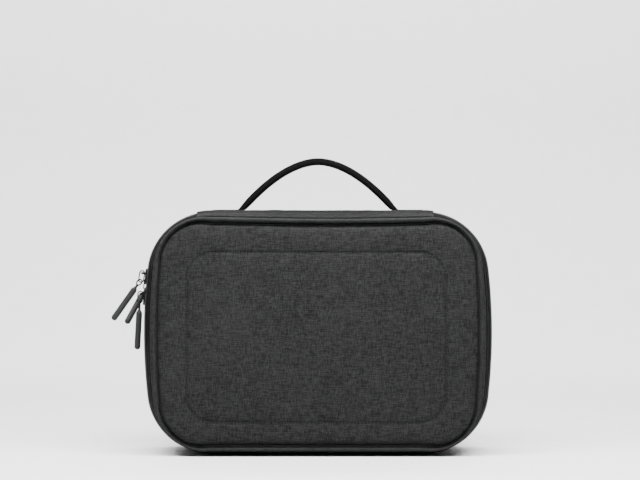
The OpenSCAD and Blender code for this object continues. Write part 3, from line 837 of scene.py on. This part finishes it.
def cut_box(obj, low, high):
    """Cut a box out of a mesh object, before it rides on anything."""
    size = Vector(high) - Vector(low)
    middle = (Vector(high) + Vector(low)) / 2
    bpy.ops.mesh.primitive_cube_add(size=1, location=middle)
    cutter = bpy.context.object
    cutter.scale = size
    mod = obj.modifiers.new("cut", "BOOLEAN")
    mod.operation, mod.object, mod.solver = "DIFFERENCE", cutter, "EXACT"
    bpy.context.view_layer.update()
    graph = bpy.context.evaluated_depsgraph_get()
    mesh = bpy.data.meshes.new_from_object(obj.evaluated_get(graph))
    obj.modifiers.clear()
    obj.data = mesh
    bpy.data.objects.remove(cutter)


def base_outside():
    front, rear = BASE_TAPE[1].y, BOARD[1].y
    section = dense(band(0.0, 3 * MM, front, rear), 2.6 * MM)
    outer_count = sum(1 for i, y in section if i == 0.0)

    def shape(p, s, j):
        if j < outer_count:
            t = j / outer_count
            resting = smooth((CASE.at(s)[1][1] + 0.9) / 0.12)
            dent = (wander(s, 6.0 + 2 * t, 0, 42 * MM, 0.45 * MM) - 0.1 * MM) * math.sin(math.pi * t)
            p = outwards(p, s, min(dent * resting, 0.4 * MM))
        return p

    wall = sweep(section, 720, shape=shape)
    obj = wall.piece("base_wall", SHADED_GUSSET)
    slot_lo, slot_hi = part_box("pocket_zip_tape")
    cut_box(obj, (slot_lo.x - 10 * MM, slot_lo.y, slot_lo.z), (slot_hi.x + 4 * MM, slot_hi.y, slot_hi.z))
    shade_smooth(obj.data)
    belongs(obj, "case", "base_gusset")

    def cord_shape(p, s, j):
        centre = CASE.point(s, BACK_PIPING_INSET, BOARD[1].y + PIPING_R)
        grow = 0.22 * MM * bump(s - 4 * MM, 1.1 * MM)
        (nx, nz) = CASE.at(s)[1]
        lump = wander(s, j * 0.4, 3.0, 9 * MM, 0.10 * MM)
        if nz < -0.8:
            grow, lump = 0.0, min(lump, 0.0)
        return p + (p - centre).normalized() * (grow + lump)

    section = round_section(BACK_PIPING_INSET, BOARD[1].y + PIPING_R, PIPING_R, 16)
    tube = sweep(section, 900, shape=cord_shape)
    tube.piece("back_piping", PIPING, "case", "base_piping")
    panel = panel_build(BACK_PANEL_INSET, back_height, BOARD[1].y, columns=480)
    obj = panel.piece("back_cover", FABRIC, "case", "back_panel")


# ---------------------------------------------------------------- handle

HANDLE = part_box("handle_strap")
HANDLE_POWER = 1.85
HANDLE_T = 4.9 * MM
ANCHORS = [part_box("handle_anchor_left"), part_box("handle_anchor_right")]


def handle_line(x, depth):
    """A point on the arch, some way in from its outer line, and its normal."""
    half = HANDLE[1].x
    rise = HANDLE[1].z - HANDLE[0].z
    z = HANDLE[1].z - rise * (abs(x) / half) ** HANDLE_POWER
    slope = rise * HANDLE_POWER * (abs(x) / half) ** (HANDLE_POWER - 1) / half * (1 if x < 0 else -1)
    n = math.hypot(1, slope)
    return Vector((x + depth * slope / n, 0, z - depth / n)), Vector((-slope / n, 0, 1 / n))


def flatter(v, power):
    """A sine or cosine pressed out towards a flat band with round edges."""
    return math.copysign(abs(v) ** power, v)


def handle():
    """Doubled webbing: an arch with softly rounded edges."""
    half, mid_y = HANDLE[1].x, (HANDLE[0].y + HANDLE[1].y) / 2
    width = HANDLE[1].y - HANDLE[0].y
    build = Build()
    steps, sides = 150, 28
    rows, centres = [], []
    for i in range(steps + 1):
        centre, normal = handle_line(-half + 2 * half * i / steps, HANDLE_T / 2)
        foot = smooth((centre.z - HANDLE[0].z) / (7 * MM))
        thick = HANDLE_T / 2 * (0.8 + 0.2 * foot)
        row = []
        for a in (2 * math.pi * k / sides for k in range(sides)):
            p = centre + normal * (thick * flatter(math.sin(a), 0.55))
            p.y += mid_y + width / 2 * flatter(math.cos(a), 0.35)
            p.z = max(p.z, HANDLE[0].z)
            row.append(p)
        rows.append(row)
        centres.append(centre)
    middle = rows[steps // 2]
    us = runs(centres)
    build.grid(rows, runs(middle + middle[:1]), us, wrap_u=True, swap=True)
    for end in (0, steps):
        build.cap(range(end * sides, (end + 1) * sides))
    obj = build.piece("handle_webbing", WEBBING, "handle", "handle_strap")


def handle_tabs():
    for name, (lo, hi), inner in (("handle_tab_left", ANCHORS[0], 1), ("handle_tab_right", ANCHORS[1], -1)):
        build = Build()
        steps = 16
        rows = []
        for k in range(steps + 1):
            t = k / steps
            x = (lo.x if inner > 0 else hi.x) + inner * t * (hi.x - lo.x)
            lift = 0.5 * MM * smooth((t - 0.55) / 0.45)
            top = hi.z - 0.05 * MM + lift * 0.4 - 0.7 * MM * bump(t, 0.06)
            rows.append([Vector((x, lo.y, lo.z - 0.1 * MM)), Vector((x, lo.y, top - 0.25 * MM)),
                         Vector((x, lo.y + 0.4 * MM, top)), Vector((x, hi.y - 0.4 * MM, top)),
                         Vector((x, hi.y, top - 0.25 * MM)), Vector((x, hi.y, lo.z - 0.1 * MM))])
        vs = [abs(r[0].x - rows[0][0].x) for r in rows]
        build.grid(rows, [0, 1.4 * MM, 2 * MM, 19 * MM, 19.6 * MM, 21 * MM, 39 * MM], vs, wrap_u=True)
        build.cap(range(6))
        build.cap(range(steps * 6, steps * 6 + 6))
        node = "handle_anchor_left" if inner > 0 else "handle_anchor_right"
        build.piece(name, WEBBING, "case", node, shade=False)
        stitches = Build()
        x0, x1 = lo.x + 2.5 * MM, hi.x - 2.5 * MM
        y0, y1 = lo.y + 2.5 * MM, hi.y - 2.5 * MM
        z = hi.z + 0.12 * MM
        a, b, c, d = (Vector(p) for p in ((x0, y0, z), (x1, y0, z), (x1, y1, z), (x0, y1, z)))
        corners = [a, b, c, d, a, c, b, d]
        for p, q in zip(corners, corners[1:]):
            stitch(stitches, lambda t: p.lerp(q, t), (q - p).length, 2.2 * MM)
        stitches.piece(name + "_stitching", THREAD, "case")


# ---------------------------------------------------------------- inside of the case

def net(name, slot, pitch, thread, color):
    """An open diamond net: the holes let the light through."""
    s = Shade(name, slot)
    u, v = s.uv()
    web = s.math("MINIMUM", s.ridge(s.add(u, v), pitch * MM), s.ridge(s.less(u, v), pitch * MM))
    alpha = s.span(web, thread, thread + 0.12, 1.0, 0.0)
    fine = s.noise(s.place(), 700.0, 2.0)
    s.put(s.bsdf.inputs["Alpha"], alpha)
    return s.surface(s.mix(s.span(fine, 0.3, 0.7), grey(color * 0.8), grey(color)), 0.75,
                     s.bump(web, 0.5, 0.2 * MM), Sheen_Weight=0.1, Specular_IOR_Level=0.3)


DARK_LINING = fuzzy("dark_loop_lining", "dark_lining", 0.036, 0.075, sheen=0.08)
LIGHT_LINING = woven("light_lining_cloth", "light_lining", 0.42, 0.60, pitch=0.4, slub=3.0, contrast=0.9,
                     tint=0.0, dust=0.05)
BACKING = woven("backing_cloth", "backing", 0.27, 0.42, pitch=0.45, slub=4.0, contrast=0.8, tint=0.14,
                dust=0.05)
ELASTIC = ribbed("elastic_knit", "elastic", 0.36, 0.50, pitch=1.0, relief=0.6)
HEM = ribbed("hem_tape", "mesh", 0.18, 0.27, pitch=0.8)
NET = net("pocket_net", "mesh", 1.5, 0.34, 0.30)
DIVIDER_CLOTH = fuzzy("divider_cloth", "divider_fabric", 0.040, 0.085, sheen=0.08)
HOOK_TAPE = fuzzy("hook_tape_nap", "hook_tape", 0.003, 0.010, scale=2200.0, relief=0.8, sheen=0.03)
PALE_THREAD = hard("pale_thread", "thread", (0.30, 0.29, 0.28), 0.7, relief=0.2, scale=2500)

LID_FLOOR_Y = LID_BOARD[1].y
LID_WALL_REAR = (3.3 * MM, LID_TAPE[0].y)
LID_WALL_FRONT = (6.6 * MM, LID_FLOOR_Y)
RIM_W = 3.5 * MM
LINING_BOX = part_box("base_lining_wall")
FLOOR_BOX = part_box("base_lining_floor")
BACKING_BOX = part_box("pocket_backing")
BACKING_INSET = 14 * MM
HEM_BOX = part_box("mesh_hem")
BAND_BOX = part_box("elastic_band")
POCKETS = 5
POCKET_INSET = 15.2 * MM


def outline_area(inset, steps=600, outline=CASE):
    """Area inside the outline moved inwards."""
    pts = [outline.point(CASE.total * i / steps, inset, 0) for i in range(steps)]
    return abs(sum(a.x * b.z - b.x * a.z for a, b in zip(pts, pts[1:] + pts[:1]))) / 2


def outline_length(inset):
    return CASE.total - 2 * math.pi * inset


def lid_inner(y):
    """How far inside the outline the inner face of the lid's sloping wall lies."""
    t = (LID_WALL_REAR[1] - y) / (LID_WALL_REAR[1] - LID_WALL_FRONT[1])
    return LID_WALL_REAR[0] + (LID_WALL_FRONT[0] - LID_WALL_REAR[0]) * t


def stack(section, columns, shape=None, outline=CASE):
    """Stack outlines into a closed solid, flat at both ends."""
    build = Build()
    us = [CASE.total * i / columns for i in range(columns + 1)]
    build.grid(outline_rows(section, us[:-1], shape, outline), us, runs(section), wrap_u=True)
    for base in (0, (len(section) - 1) * columns):
        ids = range(base, base + columns)
        build.cap(ids, [(build.verts[q].x, build.verts[q].z) for q in ids])
    return build


def ribbon(path, across, width, thick):
    """A flat band along a path; across is the direction of its width."""
    build = Build()
    w, h = width / 2, thick / 2
    section = soften([(-w, -h), (w, -h), (w, h), (-w, h)], thick / 4, 2)
    count = len(path)
    rows = [[] for _ in section]
    for i, p in enumerate(path):
        t = (path[min(i + 1, count - 1)] - path[max(i - 1, 0)]).normalized()
        normal = across.cross(t).normalized()
        for row, (w, d) in zip(rows, section):
            row.append(p + across * w + normal * d)
    us = runs(path)
    build.grid(rows, us, runs(section + section[:1]), wrap_v=True)
    for end in (0, count - 1):
        build.cap([j * count + end for j in range(len(section))], section)
    return build, us[-1]


def box_uvs(mesh):
    """UVs in metres from the two axes that each face lies along."""
    layer = mesh.uv_layers.get("UVMap") or mesh.uv_layers.new(name="UVMap")
    for poly in mesh.polygons:
        n = [abs(c) for c in poly.normal]
        axis = n.index(max(n))
        a, b = [(1, 2), (0, 2), (0, 1)][axis]
        for k in poly.loop_indices:
            co = mesh.vertices[mesh.loops[k].vertex_index].co
            layer.data[k].uv = (co[a], co[b])


def baked(obj):
    """Apply an object's modifiers."""
    bpy.context.view_layer.update()
    mesh = bpy.data.meshes.new_from_object(obj.evaluated_get(bpy.context.evaluated_depsgraph_get()))
    obj.modifiers.clear()
    obj.data = mesh
    return mesh


def dressed(name, node, material, body, bevel):
    """A piece with the CAD node's shape and softened edges."""
    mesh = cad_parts[node].data.copy()
    mesh.materials.clear()
    obj = placed(name, mesh)
    weld = obj.modifiers.new("weld", "WELD")
    weld.merge_threshold = 1e-6
    flat = obj.modifiers.new("flat", "DECIMATE")
    flat.decimate_type = "DISSOLVE"
    flat.angle_limit = math.radians(1)
    mod = obj.modifiers.new("bevel", "BEVEL")
    mod.width, mod.segments, mod.limit_method, mod.angle_limit = bevel, 2, "ANGLE", math.radians(35)
    mesh = baked(obj)
    box_uvs(mesh)
    mesh.materials.append(material)
    mesh.polygons.foreach_set("use_smooth", [False] * len(mesh.polygons))
    belongs(obj, body, node)


def lid_inside():
    rim_front, rim_rear = LID_WALL_REAR[1] - RIM_W, LID_WALL_REAR[1] - 0.2 * MM
    section = [(lid_inner(rim_front), rim_front), (lid_inner(rim_rear), rim_rear),
               (lid_inner(rim_rear) + 1.2 * MM, rim_rear), (lid_inner(rim_front) + 1.2 * MM, rim_front)]
    cloth = sweep(soften(section, 0.5 * MM, 3), 400, shape=settled, outline=LID)
    cloth.piece("lid_rim_tape", BINDING, "lid", "lid_rim_binding")

    def lining_shape(p, s, j):
        loose = {2: 0.15, 3: 0.3, 4: 0.3, 5: 0.15}.get(j, 0.0)
        return settle(outwards(p, s, wander(s, 3.0 * j, 0, 16 * MM, loose * MM) - loose * 0.5 * MM))

    top = LID_FLOOR_Y + 0.8 * MM
    section = [(17 * MM, top), (10.5 * MM, top + 0.1 * MM), (8.2 * MM, top + 0.15 * MM)]
    wall = [(lid_inner(y) + 0.8 * MM, y) for y in (top + 0.9 * MM, top + 3 * MM, top + 6 * MM, rim_front)]
    outside = [(lid_inner(rim_front), rim_front), (lid_inner(LID_FLOOR_Y), LID_FLOOR_Y)]
    cloth = stack(section + wall + outside, 400, lining_shape, LID)
    obj = cloth.piece("lid_lining_cloth", LIGHT_LINING, "lid", "lid_lining")
    area = outline_area(7 * MM, outline=LID) + outline_length(6 * MM) * 10 * MM

    def backing_height(x, z):
        d = max(0.0, LID.depth(x, z) - BACKING_INSET)
        loose = wander(x, 2.0, z, 30 * MM, 0.35 * MM) + wander(x, 8.0, z, 9 * MM, 0.10 * MM)
        return BACKING_BOX[1].y - 0.15 * MM + loose * smooth(d / (8 * MM))

    cloth = panel_build(BACKING_INSET, backing_height, BACKING_BOX[0].y, 300, settle, LID)
    obj = cloth.piece("pocket_backing_cloth", BACKING, "lid", "pocket_backing")
    outline_area(BACKING_INSET, outline=LID)

    lo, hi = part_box("pocket_border_binding")
    section = soften(band(12.4 * MM, 14.6 * MM, lo.y, hi.y + 0.1 * MM), 0.6 * MM, 3)
    tape = sweep(section, 400, shape=settled, outline=LID)
    tape.piece("backing_edge_tape", BINDING, "lid", "pocket_border_binding")


def pocket_top(x):
    """Height at which the pockets end under the outline."""
    low, high = HEM_BOX[0].z, CASE_HI.z
    for _ in range(30):
        mid = (low + high) / 2
        if LID.depth(x, mid) > POCKET_INSET:
            low = mid
        else:
            high = mid
    return low


def pocket_y(x, t):
    """Depth of the net: sewn down between the pockets, puffed at the mouth, flat at the closed end."""
    bay = (x - HEM_BOX[0].x) / (HEM_BOX[1].x - HEM_BOX[0].x) * POCKETS
    share = abs(math.sin(math.pi * bay)) ** 0.7
    puff = share * (1 - smooth((t - 0.25) / 0.75)) * (0.86 + 0.12 * math.sin(2.3 * math.floor(bay) + 1))
    wrinkle = wander(x, 0, t * 50 * MM, 9 * MM, 0.5 * MM) * share * (1 - t)
    return BACKING_BOX[1].y + 0.45 * MM + (HEM_BOX[0].y - BACKING_BOX[1].y - 0.8 * MM) * puff + wrinkle


def pocket_nets():
    x0, x1 = HEM_BOX[0].x, HEM_BOX[1].x
    low = HEM_BOX[0].z
    columns, rows = POCKETS * 20, 26
    build = Build()
    grid = []
    for j in range(rows + 1):
        t = j / rows
        row = []
        for i in range(columns + 1):
            x = x0 + (x1 - x0) * i / columns
            p = Vector((x, pocket_y(x, t), low + (pocket_top(x) - low) * t))
            row.append(settle(p))
        grid.append(row)
    stretch = 1.06
    us = [(x1 - x0) * stretch * i / columns for i in range(columns + 1)]
    vs = [(pocket_top(0) - low) * j / rows for j in range(rows + 1)]
    build.grid(grid, us, vs)
    nets = build.piece("pocket_net_sheet", NET, "lid", "mesh_pockets")

    z = (HEM_BOX[0].z + HEM_BOX[1].z) / 2
    path = []
    for i in range(columns + 1):
        x = x0 + (x1 - x0) * i / columns
        path.append(settle(Vector((x, pocket_y(x, 0.03) + 0.35 * MM, z))))
    hem = ribbon(path, Vector((0, 0, 1)), HEM_BOX[1].z - HEM_BOX[0].z, 0.7 * MM)[0]
    hem.piece("pocket_hem", HEM, "lid", "mesh_hem")

    seams = Build()
    for k in range(POCKETS + 1):
        x = x0 + (x1 - x0) * k / POCKETS
        x = min(max(x, x0 + 0.6 * MM), x1 - 0.6 * MM)
        tall = pocket_top(x) - 1 * MM - low
        stitch(seams, lambda t: settle(Vector((x, BACKING_BOX[1].y + 0.85 * MM, low + tall * t))),
               tall, 2.2 * MM, 0.22 * MM)
    seams.piece("pocket_seams", THREAD, "lid")
    height = pocket_top(0) - low
    area = sum(pocket_top(x0 + (x1 - x0) * (i + 0.5) / 200) - low for i in range(200)) * (x1 - x0) / 200


def elastic():
    x0, x1 = BAND_BOX[0].x, BAND_BOX[1].x
    z = (BAND_BOX[0].z + BAND_BOX[1].z) / 2
    depth = BAND_BOX[1].y - BACKING_BOX[1].y - 0.9 * MM
    path = []
    steps = POCKETS * 24
    for i in range(steps + 1):
        bay = i / 24
        share = abs(math.sin(math.pi * bay)) ** 0.8
        tall = 0.86 + 0.13 * math.sin(1.7 * math.floor(bay) + 0.6)
        y = BACKING_BOX[1].y + 0.75 * MM + depth * tall * share
        path.append(Vector((x0 + (x1 - x0) * i / steps, y, z)))
    band, run = ribbon(path, Vector((0, 0, 1)), BAND_BOX[1].z - BAND_BOX[0].z, 0.9 * MM)
    obj = band.piece("elastic_loops", ELASTIC, "lid", "elastic_band")
    tacks = Build()
    for k in range(POCKETS + 1):
        x = min(max(x0 + (x1 - x0) * k / POCKETS, x0 + 1.4 * MM), x1 - 1.4 * MM)
        low, high = BAND_BOX[0].z + 0.8 * MM, BAND_BOX[1].z - 0.8 * MM
        count = round((high - low) / (0.62 * MM))
        y = BACKING_BOX[1].y + 1.35 * MM
        path = [Vector((x + (0.8 * MM if i % 2 else -0.8 * MM), y, low + (high - low) * i / count))
                for i in range(count + 1)]
        tacks.tube(path, 0.22 * MM, sides=5)
    tacks.piece("band_tacks", PALE_THREAD, "lid", "band_bar_tacks")


def base_inside():
    lo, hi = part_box("base_rim_binding")
    tape = sweep(soften(band(3 * MM, 4.6 * MM, lo.y, hi.y), 0.6 * MM, 3), 400)
    tape.piece("base_rim_tape", BINDING, "case", "base_rim_binding")

    front, rear = LINING_BOX[0].y, LINING_BOX[1].y
    section = dense(band(3 * MM, 4.2 * MM, front, rear), 4 * MM)
    inner = [j for j, (inset, y) in enumerate(section) if inset > 4 * MM]

    def shape(p, s, j):
        if j in inner:
            t = smooth((p.y - front) / (4 * MM)) * smooth((rear - p.y) / (4 * MM))
            p = outwards(p, s, (wander(s, p.y, 5.0, 26 * MM, 0.4 * MM) + 0.15 * MM) * t)
        return p

    cloth = sweep(section, 480, shape=shape)
    obj = cloth.piece("base_lining_cloth", DARK_LINING, "case", "base_lining_wall")

    def floor_height(x, z):
        d = max(0.0, CASE.depth(x, z) - 3 * MM)
        roll = 0.6 * MM * math.exp(-d / (2.5 * MM))
        loose = 0.15 * MM + wander(x, 4.0, z, 44 * MM, 0.35 * MM)
        return FLOOR_BOX[0].y + roll + loose * smooth(d / (9 * MM))

    cloth = panel_build(3 * MM, floor_height, FLOOR_BOX[1].y, columns=300)
    obj = cloth.piece("base_floor_cloth", DARK_LINING, "case", "base_lining_floor")
    outline_area(3 * MM)


def soft_pad(name, node, body):
    """Foam covered in cloth: the CAD block filled out by a short cloth simulation."""
    lo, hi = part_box(node)
    mid, size = (lo + hi) / 2, hi - lo
    thin = min(range(3), key=lambda k: size[k])
    steps = [max(2, round(size[k] / (3.2 * MM))) for k in range(3)]
    mesh = bpy.data.meshes.new(name)
    bm = bmesh.new()
    bmesh.ops.create_cube(bm, size=1)
    for v in bm.verts:
        v.co = mid + Vector([v.co[k] * (size[k] - 1.0 * MM) for k in range(3)])
    for axis in range(3):
        for k in range(1, steps[axis]):
            at = mid.copy()
            at[axis] = lo[axis] + 0.5 * MM + (size[axis] - 1.0 * MM) * k / steps[axis]
            normal = Vector([1.0 if q == axis else 0.0 for q in range(3)])
            every = bm.verts[:] + bm.edges[:] + bm.faces[:]
            bmesh.ops.bisect_plane(bm, geom=every, plane_co=at, plane_no=normal)
    bm.to_mesh(mesh)
    bm.free()
    obj = placed(name, mesh)
    start = [v.co.copy() for v in mesh.vertices]
    cloth = obj.modifiers.new("cloth", "CLOTH")
    cloth.settings.quality = 4
    cloth.settings.mass = 0.2
    cloth.settings.tension_stiffness = 12
    cloth.settings.compression_stiffness = 12
    cloth.settings.bending_stiffness = 0.6
    cloth.settings.use_pressure = True
    cloth.settings.uniform_pressure_force = 4
    cloth.settings.effector_weights.gravity = 0
    cloth.point_cache.frame_start, cloth.point_cache.frame_end = 1, 20
    for k in range(1, 21):
        bpy.context.scene.frame_set(k)
    mesh = baked(obj)
    bpy.context.scene.frame_set(1)
    cap = 0.9 * MM
    for v, rest in zip(mesh.vertices, start):
        move = v.co - rest
        if move.length > cap:
            move *= cap / move.length
        v.co = rest + move
        for k in range(3):
            edge = 0.1 * MM if k != thin else 0.0
            v.co[k] = min(max(v.co[k], lo[k] + edge), hi[k] - edge)
    smoothing = obj.modifiers.new("smooth", "SUBSURF")
    smoothing.levels = smoothing.render_levels = 1
    mesh = baked(obj)
    for v in mesh.vertices:
        v.co[thin] += wander(v.co.x, v.co.y, v.co.z + 0.3 * v.co[thin], 21 * MM, 0.3 * MM)
        v.co[thin] = min(max(v.co[thin], lo[thin]), hi[thin])
    box_uvs(mesh)
    mesh.materials.append(DIVIDER_CLOTH)
    shade_smooth(mesh)
    belongs(obj, body, node)


def dividers():
    for part, body in (("left", "left_divider"), ("right", "right_divider"), ("cross", "cross_divider")):
        node = "divider_" + part
        soft_pad(part + "_divider_pad", node, body)
        dressed(part + "_divider_tabs", node + "_hooks", HOOK_TAPE, body, 0.3 * MM)
        lo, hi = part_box(node)
        seam = Build()
        along = 0 if part == "cross" else 2
        thin = 2 - along
        for side in (lo[thin] - 0.02 * MM, hi[thin] + 0.02 * MM):
            start, stop = Vector((0, lo.y + 3.4 * MM, 0)), Vector((0, lo.y + 3.4 * MM, 0))
            start[along], stop[along] = lo[along] + 3 * MM, hi[along] - 3 * MM
            start[thin] = stop[thin] = side
            stitch(seam, lambda t: start.lerp(stop, t), (stop - start).length, 2.6 * MM)
        seam.piece(part + "_divider_seam", THREAD, body)


# ---------------------------------------------------------------- rear pocket zip

POCKET_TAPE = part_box("pocket_zip_tape")
POCKET_Y = (POCKET_TAPE[0].y + POCKET_TAPE[1].y) / 2


def s_on_left(z):
    """Distance along at which the left side has this height."""
    a = math.pi - math.asin((z - MID_Z) / SIDE_R)
    return sum(CASE.lengths[:6]) + SIDE_R * (a - (math.pi - CASE.tilt))


def rear_pocket_zip():
    s0, s1 = s_on_left(POCKET_TAPE[1].z - 0.1 * MM), s_on_left(POCKET_TAPE[0].z + 0.1 * MM)
    tape, coil = Build(), Build()
    for side, phase in ((-1, 0.0), (1, math.pi)):
        near, edge = POCKET_Y + side * 1.4 * MM, POCKET_Y + side * 3.2 * MM
        low, high = min(near, edge), max(near, edge)
        sweep(soften(band(0.8 * MM, 2.0 * MM, low, high), 0.2 * MM, 2), 90, s0, s1, build=tape)
        path = coil_path(s0 + 1 * MM, s1 - 1 * MM, 1.35 * MM, POCKET_Y + side * 1.08 * MM, 0.72 * MM,
                         0.95 * MM, phase)
        coil.tube(path, COIL_WIRE, sides=5)
    tape.piece("rear_pocket_tape", TAPE, "case", "pocket_zip_tape")
    coil.piece("rear_pocket_coil", COIL, "case", "pocket_zip_coil")
    dressed("rear_pocket_stops", "pocket_zip_stops", COIL, "case", 0.2 * MM)
    stitches = Build()
    for y in (POCKET_TAPE[0].y - 1.3 * MM, POCKET_TAPE[1].y + 1.3 * MM):
        if y <= BOARD[1].y - 0.3 * MM:
            stitch(stitches, lambda t: CASE.point(s0 + (s1 - s0) * t, -0.1 * MM, y), s1 - s0, 2.4 * MM)
    stitches.piece("rear_pocket_stitching", THREAD, "case")


# ---------------------------------------------------------------- pulls

def pulls():
    for name in ("upper", "lower", "pocket"):
        dressed(name + "_slider_body", name + "_slider", METAL, name + "_runner", 0.16 * MM)
        repaint(name + "_ring", METAL)
        repaint(name + "_cord_loop", CORD)
        repaint(name + "_grip", GRIP)


# ---------------------------------------------------------------- stage

def repaint(node, material):
    """A better material on a CAD node whose shape is right."""
    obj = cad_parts[node]
    obj.data.materials.clear()
    obj.data.materials.append(material)


def stage():
    s = Shade("floor")
    paper = s.noise(s.place(), 40.0, 2.0)
    white = s.surface(s.mix(s.span(paper, 0.3, 0.7), (0.90, 0.90, 0.90), (0.92, 0.92, 0.92)), 0.7)
    build = Build()
    radius, back = 0.35, 1.6
    profile = [(-3.0, 0.0), (back - radius, 0.0)]
    profile += [(back - radius + radius * math.sin(a), radius - radius * math.cos(a))
                for a in (math.pi / 2 * k / 12 for k in range(1, 13))]
    profile.append((back, 3.0))
    rows = [[Vector((x, y, z)) for x in (-4, 4)] for y, z in profile]
    build.grid(rows, [0, 1], [k * 1.0 for k in range(len(rows))])
    floor = build.piece("floor", white, recalc=False)


def light(name, place, target, size, power, spread=math.pi, color=(1, 1, 1)):
    data = bpy.data.lights.new(name, "AREA")
    data.shape, data.size, data.size_y = "RECTANGLE", size[0], size[1]
    data.energy, data.color, data.spread = power, color, spread
    obj = bpy.data.objects.new(name, data)
    obj.location = place
    obj.rotation_euler = (Vector(target) - Vector(place)).to_track_quat("-Z", "Y").to_euler()
    bpy.context.scene.collection.objects.link(obj)


def camera():
    data = bpy.data.cameras.new("camera")
    data.sensor_width = 36
    data.lens = 112
    obj = bpy.data.objects.new("camera", data)
    obj.location = (0.0014, ZIP_Y - 1.4, 0.150)
    obj.rotation_euler = (math.pi / 2, 0, 0)
    bpy.context.scene.collection.objects.link(obj)
    bpy.context.scene.camera = obj


def studio():
    world = bpy.data.worlds.new("studio")
    world.use_nodes = True
    world.node_tree.nodes["Background"].inputs[0].default_value = (1, 1, 1, 1)
    world.node_tree.nodes["Background"].inputs[1].default_value = 0.08
    bpy.context.scene.world = world
    light("top", (0.0, -0.22, 0.46), (0, -0.03, 0.13), (0.75, 0.26), 12.5)
    light("front", (-0.25, -1.9, 1.5), (0, 0, 0.12), (1.2, 0.8), 1.9)
    light("back_wall", (0.0, 0.8, 1.4), (0, 1.5, 0.2), (3.0, 0.6), 75)


camera()
studio()
stage()
lid_outside()
base_outside()
zip_tapes()
main_coils()
hinge_strip()
handle_tabs()
handle()
lid_inside()
pocket_nets()
elastic()
base_inside()
dividers()
dressed("zip_stops", "base_zip_stops", COIL, "case", 0.2 * MM)
rear_pocket_zip()
pulls()
repaint("back_stiffener", EDGE_BOARD)
